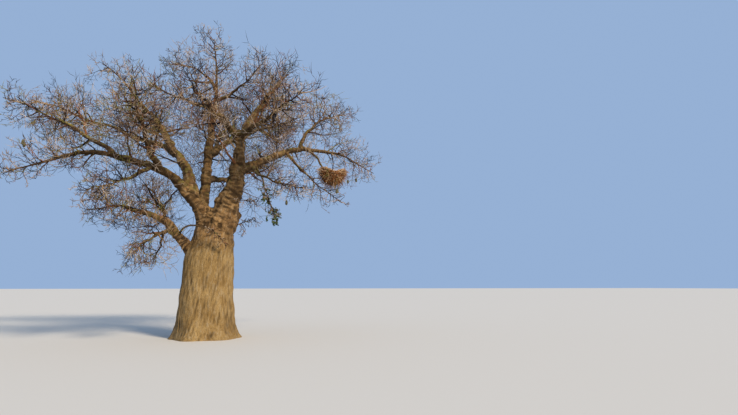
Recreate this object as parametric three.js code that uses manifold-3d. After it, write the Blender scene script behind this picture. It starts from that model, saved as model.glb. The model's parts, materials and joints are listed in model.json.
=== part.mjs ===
// A bare baobab tree in its leafless season, rooted in level ground.
// Units are millimetres and degrees. +Z is up, +X is to the right and +Y leads away from the front.
// The origin is the middle of the trunk's flat cut at ground level.
import * as THREE from "three";
import { mergeVertices } from "three/addons/utils/BufferGeometryUtils.js";
import Module from "manifold-3d";

const wasm = await Module();
wasm.setup();

const gap = 0.3; // left between limbs that meet

// The trunk, from its flared foot to the shoulder that the stems rise from
const trunkSize = {
  sides: 24,
  rings: 16,
  flareLobes: 6,
  flareDepth: 0.06,
  flareHeight: 550,
  broadLobes: 3,
  broadDepth: 0.02,
  outline: [
    { height: 0, radius: 1280, lean: 0 },
    { height: 260, radius: 1140, lean: 0 },
    { height: 800, radius: 1035, lean: -5 },
    { height: 1500, radius: 995, lean: -5 },
    { height: 2300, radius: 930, lean: 10 },
    { height: 3000, radius: 905, lean: 35 },
    { height: 3650, radius: 775, lean: 110 },
    { height: 4150, radius: 710, lean: 160 },
    { height: 4400, radius: 620, lean: 165 },
    { height: 4540, radius: 400, lean: 150 },
  ],
};

// Each limb leaves its carrier at a part of that limb's length, or from a foot inside the trunk.
// Heading is seen from above, with 0 to the right and 90 away from the front, and turns by turn on the way.
// Climb is the rise above level, which ends at endClimb. Bend under 1 curves mostly near the foot.
// Bare is the part of the limb's length that is the solid bough, and its mass of twigs takes the rest.
const limbs = [
  {
    name: "right_stem",
    carrier: "trunk",
    foot: [260, -40, 4000],
    heading: -28, turn: -10, climb: 66, endClimb: 98, bend: 1.4, length: 4200,
    thick: 250, thin: 120, collar: 560, collarReach: 1600, bare: 1,
  },
  {
    name: "left_bough",
    carrier: "trunk",
    foot: [-220, 0, 3800],
    heading: -150, turn: -5, climb: 117, endClimb: -36, bend: 0.5, length: 8250,
    thick: 245, thin: 22, collar: 180, collarReach: 900, bare: 0.62, spread: 1250, lift: 0.3, pods: 2,
  },
  {
    name: "middle_stem",
    carrier: "trunk",
    foot: [-240, -100, 4000],
    heading: 170, turn: -330, climb: 82, endClimb: 86, bend: 0.8, length: 8000,
    thick: 260, thin: 18, collar: 100, collarReach: 700, bare: 0.77, spread: 1200, lift: 0.2,
  },
  {
    name: "low_left_bough",
    carrier: "trunk",
    foot: [-600, -100, 2600],
    heading: 180, turn: 45, climb: 95, endClimb: -20, bend: 0.7, length: 4900,
    thick: 235, thin: 20, collar: 50, collarReach: 600, bare: 0.52, spread: 1300, lift: 0.2,
  },
  {
    name: "upper_left_bough",
    carrier: "left_bough", at: 0.21,
    heading: 90, turn: 75, climb: 65, endClimb: 45, bend: 0.4, length: 7750,
    thick: 215, thin: 20, collar: 110, collarReach: 600, bare: 0.55, spread: 1450, lift: 0.1,
  },
  {
    name: "left_high_bough",
    carrier: "left_bough", at: 0.6,
    heading: 150, turn: 20, climb: 46, endClimb: 20, bend: 0.4, length: 4650,
    thick: 90, thin: 18, collar: 40, collarReach: 200, bare: 0.38, spread: 1150, lift: 0.05,
  },
  {
    name: "left_hanging_bough",
    carrier: "left_bough", at: 0.44,
    heading: -90, turn: -45, climb: -40, endClimb: -20, bend: 0.4, length: 3350,
    thick: 85, thin: 18, collar: 35, collarReach: 200, bare: 0.42, spread: 1200, lift: 0.05,
  },
  {
    name: "left_front_bough",
    carrier: "left_bough", at: 0.4,
    heading: -100, turn: 15, climb: 25, endClimb: 15, bend: 2.5, length: 4450,
    thick: 125, thin: 18, collar: 50, collarReach: 250, bare: 0.4, spread: 1700, lift: 0.25,
  },
  {
    name: "mid_left_bough",
    carrier: "upper_left_bough", at: 0.29,
    heading: 145, turn: 35, climb: 22, endClimb: 18, bend: 2.5, length: 7550,
    thick: 115, thin: 18, collar: 45, collarReach: 250, bare: 0.46, spread: 1700, lift: 0.15,
  },
  {
    name: "left_back_bough",
    carrier: "upper_left_bough", at: 0.35,
    heading: 100, turn: 5, climb: 45, endClimb: 15, bend: 0.4, length: 6000,
    thick: 125, thin: 18, collar: 45, collarReach: 250, bare: 0.42, spread: 1800, lift: 0.2,
  },
  {
    name: "inner_right_bough",
    carrier: "middle_stem", at: 0.38,
    heading: 40, turn: 10, climb: 45, endClimb: 20, bend: 0.4, length: 7000,
    thick: 140, thin: 18, collar: 50, collarReach: 250, bare: 0.45, spread: 1800, lift: 0.2,
  },
  {
    name: "centre_left_bough",
    carrier: "middle_stem", at: 0.62,
    heading: 130, turn: 30, climb: 20, endClimb: 25, bend: 0.4, length: 3450,
    thick: 90, thin: 18, collar: 35, collarReach: 200, bare: 0.36, spread: 1600, lift: 0.3,
  },
  {
    name: "top_right_bough",
    carrier: "middle_stem", at: 0.67,
    heading: 10, turn: -60, climb: 20, endClimb: 40, bend: 0.4, length: 2600,
    thick: 80, thin: 16, collar: 30, collarReach: 180, bare: 0.38, spread: 1100, lift: 0.15,
  },
  {
    name: "top_left_bough",
    carrier: "middle_stem", at: 0.73,
    heading: 135, turn: 40, climb: 55, endClimb: -15, bend: 1.5, length: 2900,
    thick: 70, thin: 16, collar: 25, collarReach: 160, bare: 0.36, spread: 950, lift: 0.05,
  },
  {
    name: "right_top_bough",
    carrier: "right_stem", at: 0.9,
    heading: 55, turn: -25, climb: 65, endClimb: 50, bend: 0.4, length: 4500,
    thick: 205, thin: 18, collar: 20, collarReach: 200, bare: 0.42, spread: 1400, lift: 0.1, pods: 1,
  },
  {
    name: "crown_front_bough",
    carrier: "right_stem", at: 0.94,
    heading: -140, turn: 35, climb: 26, endClimb: 0, bend: 0.4, length: 4250,
    thick: 135, thin: 18, collar: 45, collarReach: 250, bare: 0.42, spread: 1600, lift: 0.15,
  },
  {
    name: "right_front_bough",
    carrier: "right_stem", at: 0.95,
    heading: -55, turn: -10, climb: 0, endClimb: 15, bend: 0.4, length: 4250,
    thick: 130, thin: 18, collar: 45, collarReach: 250, bare: 0.4, spread: 1600, lift: 0.15,
  },
  {
    name: "right_bough",
    carrier: "right_stem", at: 0.55,
    heading: 15, turn: 0, climb: 45, endClimb: -30, bend: 1, length: 6950,
    thick: 185, thin: 20, collar: 70, collarReach: 400, bare: 0.56, spread: 1400, lift: 0.12, pods: 2,
  },
  {
    name: "right_rising_bough",
    carrier: "right_bough", at: 0.45,
    heading: 50, turn: -20, climb: 75, endClimb: 15, bend: 0.6, length: 3850,
    thick: 90, thin: 18, collar: 35, collarReach: 200, bare: 0.36, spread: 1400, lift: 0.1,
  },
  {
    name: "right_hanging_bough",
    carrier: "right_bough", at: 0.35,
    heading: -40, turn: 20, climb: -45, endClimb: -30, bend: 2.5, length: 3500,
    thick: 65, thin: 16, collar: 30, collarReach: 180, bare: 0.45, spread: 1000, lift: 0, pods: 2,
  },
  {
    name: "right_low_bough",
    carrier: "right_bough", at: 0.12,
    heading: -75, turn: 20, climb: -50, endClimb: -10, bend: 0.4, length: 3750,
    thick: 65, thin: 16, collar: 30, collarReach: 180, bare: 0.4, spread: 950, lift: 0.05, pods: 1,
  },
  {
    name: "leafy_bough",
    carrier: "right_bough", at: 0.14,
    heading: -55, turn: 10, climb: -50, endClimb: -70, bend: 0.4, length: 2650,
    thick: 50, thin: 14, collar: 25, collarReach: 160, bare: 0.38, spread: 650, lift: -0.1,
    leaves: 22,
  },
  {
    name: "nest_bough",
    carrier: "right_bough", at: 0.48,
    heading: -30, turn: -10, climb: 0, endClimb: -65, bend: 0.4, length: 1400,
    thick: 60, thin: 40, collar: 20, collarReach: 160, bare: 1,
  },
  {
    name: "low_left_rising_bough",
    carrier: "low_left_bough", at: 0.38,
    heading: 120, turn: 20, climb: 50, endClimb: 20, bend: 2.5, length: 2800,
    thick: 95, thin: 16, collar: 30, collarReach: 180, bare: 0.4, spread: 1150, lift: 0.1,
  },
  {
    name: "low_left_front_bough",
    carrier: "low_left_bough", at: 0.35,
    heading: -130, turn: 15, climb: -15, endClimb: -40, bend: 1, length: 2450,
    thick: 85, thin: 16, collar: 30, collarReach: 180, bare: 0.42, spread: 1000, lift: -0.15,
  },
  {
    name: "crossing_bough",
    carrier: "low_left_bough", at: 0.27,
    heading: -80, turn: 95, climb: 47, endClimb: -60, bend: 0.9, length: 2700,
    thick: 48, thin: 12, collar: 25, collarReach: 150, bare: 0.62, spread: 350, lift: 0,
  },
  {
    name: "back_right_bough",
    carrier: "middle_stem", at: 0.27,
    heading: 75, turn: -30, climb: -5, endClimb: 30, bend: 0.4, length: 6200,
    thick: 150, thin: 18, collar: 50, collarReach: 250, bare: 0.45, spread: 1800, lift: 0.25, pods: 1,
  },
  {
    name: "back_bough",
    carrier: "middle_stem", at: 0.31,
    heading: 80, turn: 0, climb: 45, endClimb: 20, bend: 1, length: 6200,
    thick: 150, thin: 18, collar: 50, collarReach: 250, bare: 0.42, spread: 1800, lift: 0.25,
  },
];

// Short shoots that stand straight out of the old bark, each a mass with no bough of its own
const shoots = [
  {
    name: "trunk_shoots",
    carrier: "trunk",
    foot: [700, -250, 4150],
    heading: -25, turn: 15, climb: 20, endClimb: 25, bend: 1, length: 1150,
    thick: 26, thin: 10, collar: 0, collarReach: 100, bare: 0, spread: 620, lift: -0.15,
  },
  {
    name: "stem_shoots",
    carrier: "right_stem", at: 0.3,
    heading: -40, turn: 20, climb: 15, endClimb: -20, bend: 1, length: 1250,
    thick: 24, thin: 10, collar: 0, collarReach: 100, bare: 0, spread: 560, lift: -0.1,
  },
];

// How every limb sways along its length, and how it is drawn
const curveSteps = 48;
const taper = 1.2; // over 1 thins a limb sooner on its way
const sway = { angle: 9, turns: 2.3 };
const nod = { angle: 7, turns: 2.9 };
const boughShape = {
  sides: 6,
  stoutSides: 8,
  stoutFrom: 200,
  segments: 7,
  footward: 1.3, // over 1 brings the rings closer together near the foot
  buriedFoot: 0.5, // how narrow a limb starts inside the trunk
  roundedEnd: 0.5, // how narrow a limb ends that has no twigs of its own
};
const stemShape = { sides: 5, segments: 4 };
const twigShape = { sides: 3, firstSegments: 2, secondSegments: 1, middle: 0.75 };

// The rule that a mass's twigs branch by: stations and turns step on by the golden ratio and angle
const goldenStep = 0.618034;
const goldenTurn = 137.508;
const twigRule = {
  firstSpacing: 330, // along the mass's stem
  fewestFirst: 5,
  mostFirst: 8,
  seconds: 2, // on each first twig
  stations: [0.1, 0.97],
  secondStations: [0.3, 0.97],
  opening: [38, 78],
  shortest: 0.6,
  secondLength: [0.36, 0.6],
  tipShortening: 0.42,
  bendJitter: 0.3,
  thickness: 0.016, // of a twig's length
  thinnest: 9,
  ofCarrier: 0.75,
  tries: [1, 0.66, 0.42], // parts of the full length, until one keeps to its space
  sampleEvery: 90,
  clearance: 12,
  lowest: 2350,
};

// The stick nest round the end of its bough, and the pods that hang among the twigs
const nest = {
  length: 1020,
  depth: 660,
  height: 680,
  rise: 330,
  topShare: 0.45,
  turn: 15,
  fromTip: [350, -50, -190],
  sticks: 26,
  stick: 12,
  stickLength: [260, 480],
  stickLevels: [-0.85, 0.35],
  outward: 0.45,
  sunk: 0.8,
  keepOut: 420,
  keepOutSpan: 0.28,
};
const pod = { length: 190, width: 95, stalk: 130, stalkRadius: 7, at: 0.85 };
const leaf = {
  length: 230,
  width: 110,
  thickness: 8,
  sunk: 12,
  at: [0.35, 0.95],
  climb: [-50, 30],
  roll: 60,
};

const bark = { color: 0x9a7a5c, roughness: 0.92, metalness: 0 };
const limbBark = { color: 0x8d6d50, roughness: 0.93, metalness: 0 };
const twigBark = { color: 0xa58a70, roughness: 0.9, metalness: 0 };
const leafyTwigs = { color: 0x66764a, roughness: 0.8, metalness: 0 };
const nestSticks = { color: 0x7c5640, roughness: 0.95, metalness: 0 };

const radians = THREE.MathUtils.degToRad;
const fraction = (value) => value - Math.floor(value);
const chance = (seed) => fraction(Math.sin(seed * 12.9898) * 43758.5453);
const between = ([low, high], part) => low + (high - low) * part;
const upwards = new THREE.Vector3(0, 0, 1);

// The direction of a heading and a climb
function direction(heading, climb) {
  const level = Math.cos(radians(climb));
  return new THREE.Vector3(
    level * Math.cos(radians(heading)),
    level * Math.sin(radians(heading)),
    Math.sin(radians(climb)),
  );
}

// The middle line of a limb, in short equal steps
function limbCurve(limb, foot, seed) {
  const points = [foot.clone()];
  for (let step = 0; step < curveSteps; step++) {
    const part = (step + 0.5) / curveSteps;
    const bent = part ** limb.bend;
    const swayed = sway.angle * Math.sin(2 * Math.PI * (sway.turns * part + chance(seed)));
    const nodded = nod.angle * Math.sin(2 * Math.PI * (nod.turns * part + chance(seed + 0.5)));
    const heading = limb.heading + limb.turn * bent + swayed;
    const climb = limb.climb + (limb.endClimb - limb.climb) * bent + nodded;
    const next = points[step].clone();
    next.addScaledVector(direction(heading, climb), limb.length / curveSteps);
    points.push(next);
  }
  return points;
}

function pointOn(points, part) {
  const place = THREE.MathUtils.clamp(part, 0, 1) * (points.length - 1);
  const before = Math.min(Math.floor(place), points.length - 2);
  return points[before].clone().lerp(points[before + 1], place - before);
}

function directionOn(points, part) {
  const place = THREE.MathUtils.clamp(part, 0, 1) * (points.length - 1);
  const before = Math.min(Math.floor(place), points.length - 2);
  return points[before + 1].clone().sub(points[before]).normalize();
}

function limbRadius(limb, part) {
  const swelling = limb.collar * Math.exp((-part * limb.length) / limb.collarReach);
  return limb.thin + (limb.thick - limb.thin) * (1 - part) ** taper + swelling;
}

// Two directions square to the line at each of its points, carried along it without a twist.
// Where a limb's end meets another's, both take the direction of the limb there.
function framesAlong(points, { startWay, endWay } = {}) {
  let across = new THREE.Vector3(1, 0, 0);
  const last = points.length - 1;
  return points.map((point, index) => {
    const before = points[Math.max(index - 1, 0)];
    const after = points[Math.min(index + 1, last)];
    const along = after.clone().sub(before).normalize();
    if (index === 0 && startWay) along.copy(startWay);
    if (index === last && endWay) along.copy(endWay);
    if (index === 0 && Math.abs(along.x) > 0.8) across = new THREE.Vector3(0, 1, 0);
    across = across.clone().addScaledVector(along, -across.dot(along)).normalize();
    return { across, over: across.clone().cross(along) };
  });
}

// A closed tapering limb along a line of points, which ends in a point where its last radius is 0
function taperedTube(points, radii, sides, ways) {
  const segments = points.length - 1;
  const tip = radii[segments] > 0 ? 1 : 0;
  const geometry = new THREE.CylinderGeometry(tip, 1, 1, sides, segments);
  const frames = framesAlong(points, ways);
  const places = geometry.getAttribute("position");
  for (let index = 0; index < places.count; index++) {
    const ring = Math.round((places.getY(index) + 0.5) * segments);
    const { across, over } = frames[ring];
    const reach = Math.hypot(places.getX(index), places.getZ(index));
    const scale = reach > 1e-6 ? radii[ring] / reach : 0;
    const place = points[ring].clone();
    place.addScaledVector(across, places.getX(index) * scale);
    place.addScaledVector(over, places.getZ(index) * scale);
    places.setXYZ(index, place.x, place.y, place.z);
  }
  return geometry;
}

function solidOf(geometry) {
  const bare = geometry.clone();
  bare.deleteAttribute("normal");
  bare.deleteAttribute("uv");
  const merged = mergeVertices(bare, 1e-3);
  const vertProperties = new Float32Array(merged.getAttribute("position").array);
  const triVerts = new Uint32Array(merged.index.array);
  return new wasm.Manifold(new wasm.Mesh({ numProp: 3, vertProperties, triVerts }));
}

function geometryOf(solid) {
  const mesh = solid.getMesh();
  const geometry = new THREE.BufferGeometry();
  geometry.setAttribute("position", new THREE.BufferAttribute(mesh.vertProperties, 3));
  geometry.setIndex(new THREE.BufferAttribute(mesh.triVerts, 1));
  geometry.computeVertexNormals();
  return geometry;
}

// The largest body of a solid, so that no loose scrap is kept
function largestBody(solid) {
  const bodies = solid.decompose();
  return bodies.reduce((best, body) => (body.volume() > best.volume() ? body : best));
}

// What is left of a solid outside the limbs that it meets
function clearOf(solid, others) {
  const cut = Object.values(others).reduce((left, other) => left.subtract(other), solid);
  return largestBody(cut);
}

// The trunk's outline as one smooth curve of lean, radius and height
const trunkOutline = new THREE.CatmullRomCurve3(
  trunkSize.outline.map(({ height, radius, lean }) => new THREE.Vector3(lean, radius, height)),
);

function trunkSolid(extra) {
  const { sides, rings } = trunkSize;
  const geometry = new THREE.CylinderGeometry(1, 1, 1, sides, rings);
  const places = geometry.getAttribute("position");
  for (let index = 0; index < places.count; index++) {
    const part = places.getY(index) + 0.5;
    const { x: lean, y: radius, z: height } = trunkOutline.getPoint(part);
    const angle = Math.atan2(-places.getZ(index), places.getX(index));
    const reach = Math.hypot(places.getX(index), places.getZ(index));
    const flare = trunkSize.flareDepth * Math.exp(-height / trunkSize.flareHeight);
    const lobes = flare * Math.cos(trunkSize.flareLobes * angle);
    const broad = trunkSize.broadDepth * Math.cos(trunkSize.broadLobes * angle + 1);
    const wide = reach > 0.5 ? radius * (1 + lobes + broad) + extra : 0;
    const lifted = part > 0 ? height + extra : 0;
    places.setXYZ(index, lean + wide * Math.cos(angle), wide * Math.sin(angle), lifted);
  }
  return solidOf(geometry);
}

// Everything that twigs keep clear of, as short straight lengths with a radius at each end
const obstacles = [];
const trunkLevels = trunkSize.outline.map(({ height, radius, lean }) => ({
  at: new THREE.Vector3(lean, 0, height),
  radius,
}));

function addObstacle(levels) {
  for (let index = 1; index < levels.length; index++) {
    obstacles.push({ from: levels[index - 1], to: levels[index] });
  }
}

addObstacle(trunkLevels);

// How far a point lies from the line between two places, and how far along that line
function distanceToLength(point, from, to) {
  const way = to.clone().sub(from);
  const offset = point.clone().sub(from);
  const part = THREE.MathUtils.clamp(offset.dot(way) / way.lengthSq(), 0, 1);
  return { distance: offset.addScaledVector(way, -part).length(), part };
}

function clearOfLimbs(point, radius) {
  return obstacles.every(({ from, to }) => {
    const { distance, part } = distanceToLength(point, from.at, to.at);
    const limbHere = THREE.MathUtils.lerp(from.radius, to.radius, part);
    return distance > limbHere + radius + twigRule.clearance;
  });
}

function distanceToStem(point, stem) {
  let nearest = Infinity;
  for (let index = 1; index < stem.length; index++) {
    const { distance } = distanceToLength(point, stem[index - 1], stem[index]);
    nearest = Math.min(nearest, distance);
  }
  return nearest;
}

// A mass's own space is all that lies nearer to its stem than to any other mass's stem
function inOwnSpace(point, radius, mass) {
  const own = distanceToStem(point, mass.stem) + 2 * radius + twigRule.clearance;
  return masses.every((other) => other === mass || distanceToStem(point, other.stem) > own);
}

// The bent line of a twig that leaves its carrier's line at one part of it
function twigLine({ carrier, part, turn, lift, seed, segments }, length) {
  const root = pointOn(carrier.line, part);
  const along = directionOn(carrier.line, part);
  const opening = between(twigRule.opening, chance(seed));
  const side = along.clone().cross(upwards);
  if (side.length() < 0.2) side.set(1, 0, 0).addScaledVector(along, -along.x);
  side.normalize();
  const over = side.clone().cross(along);
  const outwards = along.clone().multiplyScalar(Math.cos(radians(opening)));
  outwards.addScaledVector(side, Math.sin(radians(opening)) * Math.cos(radians(turn)));
  outwards.addScaledVector(over, Math.sin(radians(opening)) * Math.sin(radians(turn)));
  const bend = new THREE.Vector3(chance(seed + 0.1), chance(seed + 0.2), chance(seed + 0.3));
  bend.subScalar(0.5).multiplyScalar(2 * twigRule.bendJitter);
  bend.z += lift;
  const line = [];
  for (let index = 0; index <= segments; index++) {
    const gone = index / segments;
    const place = root.clone().addScaledVector(outwards, length * gone);
    line.push(place.addScaledVector(bend, length * gone * gone));
  }
  return line;
}

function keepsClear(line, radius, mass) {
  const length = line[0].distanceTo(line[line.length - 1]);
  const samples = Math.ceil(length / twigRule.sampleEvery) + 1;
  for (let index = 0; index <= samples; index++) {
    const point = pointOn(line, index / samples);
    if (point.z < twigRule.lowest) return false;
    if (!clearOfLimbs(point, radius)) return false;
    if (!inOwnSpace(point, radius, mass)) return false;
  }
  return true;
}

// The longest of a few tries at a twig that keeps to its mass's space, or nothing
function growTwig(plan, mass) {
  for (const share of twigRule.tries) {
    const length = plan.length * share;
    const wanted = Math.max(twigRule.thinnest, length * twigRule.thickness);
    const radius = Math.min(wanted, plan.carrier.radiusAt(plan.part) * twigRule.ofCarrier);
    const line = twigLine(plan, length);
    if (keepsClear(line, radius, mass)) {
      const radiusAt = (gone) => radius * (1 - gone);
      return { line, radius, length, radiusAt, seed: plan.seed };
    }
  }
  return null;
}

function twigSolid(twig) {
  const radii = twig.line.map(() => twig.radius * twigShape.middle);
  radii[0] = twig.radius;
  radii[radii.length - 1] = 0;
  return solidOf(taperedTube(twig.line, radii, twigShape.sides));
}

const tree = new THREE.Group();
tree.name = "baobab_tree";

function addNode(name, solid, finish) {
  const mesh = new THREE.Mesh(geometryOf(solid), new THREE.MeshStandardMaterial(finish));
  mesh.name = name;
  tree.add(mesh);
}

// The middle lines of all limbs, each from its foot on its carrier
const curves = {};

function addCurve(limb, seed) {
  const foot = limb.foot ? new THREE.Vector3(...limb.foot) : pointOn(curves[limb.carrier], limb.at);
  curves[limb.name] = limbCurve(limb, foot, seed);
}

limbs.forEach((limb, index) => addCurve(limb, index + 1));
shoots.forEach((shoot, index) => addCurve(shoot, limbs.length + index + 1));

// The levels of a limb's bough, closer together near its foot
function boughLevels(limb) {
  const levels = [];
  for (let index = 0; index <= boughShape.segments; index++) {
    const part = limb.bare * (index / boughShape.segments) ** boughShape.footward;
    levels.push({ at: pointOn(curves[limb.name], part), radius: limbRadius(limb, part) });
  }
  if (limb.carrier === "trunk") levels[0].radius *= boughShape.buriedFoot;
  if (limb.bare === 1) levels[boughShape.segments].radius *= boughShape.roundedEnd;
  return levels;
}

function boughSolid(limb, levels, extra) {
  const points = levels.map(({ at }) => at.clone());
  const radii = levels.map(({ radius }) => radius + extra);
  const endWay = directionOn(curves[limb.name], limb.bare);
  points[0].addScaledVector(directionOn(points, 0), -extra);
  points[boughShape.segments].addScaledVector(endWay, extra);
  const stout = limb.thick > boughShape.stoutFrom;
  const sides = stout ? boughShape.stoutSides : boughShape.sides;
  return solidOf(taperedTube(points, radii, sides, { endWay }));
}

addNode("trunk", trunkSolid(0), bark);
const grown = { trunk: trunkSolid(gap) };
for (const limb of limbs) {
  const levels = boughLevels(limb);
  const whole = boughSolid(limb, levels, 0);
  addNode(limb.name, clearOf(whole, grown), limbBark);
  grown[limb.name] = boughSolid(limb, levels, gap);
  addObstacle(levels);
}

// The nest lies in the end of its bough, hanging lowest in the middle with its two ends turned up
function nestSolid(middle) {
  const core = new THREE.SphereGeometry(1, 14, 9);
  const places = core.getAttribute("position");
  for (let index = 0; index < places.count; index++) {
    const x = places.getX(index);
    const z = places.getZ(index);
    const flattened = z > 0 ? z * nest.topShare : z;
    const lifted = flattened * nest.height * 0.5 + nest.rise * x * x;
    places.setXYZ(index, x * nest.length * 0.5, places.getY(index) * nest.depth * 0.5, lifted);
  }
  let solid = solidOf(core);
  for (let index = 0; index < nest.sticks; index++) {
    const round = radians(index * goldenTurn);
    const level = between(nest.stickLevels, fraction(index * goldenStep));
    const wide = Math.sqrt(1 - level * level);
    const skin = new THREE.Vector3(wide * Math.cos(round), wide * Math.sin(round), level);
    const lift = nest.rise * skin.x * skin.x;
    skin.multiply(new THREE.Vector3(nest.length, nest.depth, nest.height)).multiplyScalar(0.5);
    skin.z += lift;
    const way = new THREE.Vector3(-Math.sin(round), Math.cos(round), chance(index) - 0.5);
    way.addScaledVector(skin.clone().normalize(), nest.outward).normalize();
    const root = skin.clone().multiplyScalar(nest.sunk);
    const tip = root.clone().addScaledVector(way, between(nest.stickLength, chance(index + 0.4)));
    solid = solid.add(solidOf(taperedTube([root, tip], [nest.stick, 0], 3)));
  }
  const geometry = geometryOf(solid);
  geometry.rotateZ(radians(nest.turn));
  geometry.translate(middle.x, middle.y, middle.z);
  return solidOf(geometry);
}

const nestMiddle = pointOn(curves.nest_bough, 1).add(new THREE.Vector3(...nest.fromTip));
const nestEnd = direction(nest.turn, 0).multiplyScalar(nest.length * nest.keepOutSpan);
addNode("stick_nest", largestBody(nestSolid(nestMiddle).subtract(grown.nest_bough)), nestSticks);
addObstacle([
  { at: nestMiddle.clone().sub(nestEnd), radius: nest.keepOut },
  { at: nestMiddle.clone().add(nestEnd), radius: nest.keepOut },
]);

// The masses, each with its stem that carries its bough's line on
const masses = [...limbs, ...shoots].filter((limb) => limb.bare < 1).map((limb, index) => {
  const curve = curves[limb.name];
  const startWay = directionOn(curve, limb.bare);
  const stem = [];
  for (let step = 0; step <= stemShape.segments; step++) {
    stem.push(pointOn(curve, limb.bare + ((1 - limb.bare) * step) / stemShape.segments));
  }
  stem[0].addScaledVector(startWay, gap);
  const radiusAt = (part) => limbRadius(limb, limb.bare + (1 - limb.bare) * part);
  return { limb, stem, startWay, radiusAt, line: stem, seed: 100 * (index + 1) };
});

function firstTwigs(mass) {
  const { limb, seed } = mass;
  const stemLength = limb.length * (1 - limb.bare);
  const wanted = Math.round(stemLength / twigRule.firstSpacing);
  const count = THREE.MathUtils.clamp(wanted, twigRule.fewestFirst, twigRule.mostFirst);
  const twigs = [];
  for (let index = 0; index < count; index++) {
    const own = seed + 3 * index;
    const part = between(twigRule.stations, fraction((index + 1) * goldenStep));
    const turn = index * goldenTurn + 360 * chance(seed);
    const share = between([twigRule.shortest, 1], chance(own + 0.6));
    const length = limb.spread * share * (1 - twigRule.tipShortening * part);
    const plan = { carrier: mass, part, turn, length, lift: limb.lift, seed: own };
    twigs.push(growTwig({ ...plan, segments: twigShape.firstSegments }, mass));
  }
  return twigs.filter(Boolean);
}

function secondTwigs(mass, first) {
  const twigs = [];
  for (let index = 0; index < twigRule.seconds; index++) {
    const own = first.seed * 1.7 + 5 * index;
    const part = between(twigRule.secondStations, fraction((index + 1) * goldenStep + chance(own)));
    const turn = index * goldenTurn + 360 * chance(first.seed + 0.8);
    const share = between(twigRule.secondLength, chance(own + 0.6));
    const length = first.length * share;
    const plan = { carrier: first, part, turn, length, lift: mass.limb.lift, seed: own };
    twigs.push(growTwig({ ...plan, segments: twigShape.secondSegments }, mass));
  }
  return twigs.filter(Boolean);
}

// A seed pod that hangs straight down from a twig by its stalk, or nothing where there is no room
function podSolid(twig, mass) {
  const root = pointOn(twig.line, pod.at);
  const top = root.clone().addScaledVector(upwards, -pod.stalk);
  const bottom = top.clone().addScaledVector(upwards, -pod.length);
  if (!keepsClear([root, bottom], pod.width / 2, mass)) return null;
  const body = new THREE.SphereGeometry(1, 6, 5);
  body.rotateX(radians(90));
  body.scale(pod.width / 2, pod.width / 2, pod.length / 2);
  body.translate(top.x, top.y, top.z - pod.length / 2);
  const stalkEnd = top.clone().addScaledVector(upwards, -pod.length / 4);
  const stalk = taperedTube([root, stalkEnd], [pod.stalkRadius, pod.stalkRadius], 3);
  return solidOf(body).add(solidOf(stalk));
}

// A leaf rooted in its twig
function leafSolid(twig, part, seed, mass) {
  const root = pointOn(twig.line, part);
  const way = direction(360 * chance(seed), between(leaf.climb, chance(seed + 0.3)));
  const tip = root.clone().addScaledVector(way, leaf.length);
  if (!keepsClear([root, tip], leaf.thickness, mass)) return null;
  const blade = new THREE.OctahedronGeometry(1);
  blade.scale(leaf.length / 2 + leaf.sunk, leaf.width / 2, leaf.thickness / 2);
  blade.rotateX(radians(leaf.roll * (chance(seed + 0.7) - 0.5)));
  const turned = new THREE.Quaternion().setFromUnitVectors(new THREE.Vector3(1, 0, 0), way);
  blade.applyQuaternion(turned);
  const middle = root.clone().addScaledVector(way, leaf.length / 2);
  blade.translate(middle.x, middle.y, middle.z);
  return solidOf(blade);
}

function massSolid(mass) {
  const { limb, stem, startWay, radiusAt } = mass;
  const radii = stem.map((point, index) => radiusAt(index / stemShape.segments));
  radii[stemShape.segments] = 0;
  let solid = solidOf(taperedTube(stem, radii, stemShape.sides, { startWay }));
  const firsts = firstTwigs(mass);
  const seconds = firsts.flatMap((first) => secondTwigs(mass, first));
  const twigs = [...firsts, ...seconds];
  for (const twig of twigs) solid = solid.add(twigSolid(twig));
  let podsLeft = limb.pods ?? 0;
  for (const twig of seconds) {
    const hung = podsLeft > 0 ? podSolid(twig, mass) : null;
    if (hung) {
      solid = solid.add(hung);
      podsLeft -= 1;
    }
  }
  for (let index = 0; index < (limb.leaves ?? 0); index++) {
    const twig = twigs[index % twigs.length];
    const part = between(leaf.at, fraction(index * goldenStep));
    const grownLeaf = leafSolid(twig, part, index + 0.5, mass);
    if (grownLeaf) solid = solid.add(grownLeaf);
  }
  return limb.bare === 0 ? clearOf(solid, grown) : largestBody(solid);
}

for (const mass of masses) {
  const name = mass.limb.bare === 0 ? mass.limb.name : mass.limb.name.replace("_bough", "") + "_twigs";
  addNode(name, massSolid(mass), mass.limb.leaves ? leafyTwigs : twigBark);
}

export default tree;
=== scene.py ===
import json
import math

import bmesh
import bpy
import numpy as np
from mathutils import Matrix, Vector
from mathutils.bvhtree import BVHTree

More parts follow.
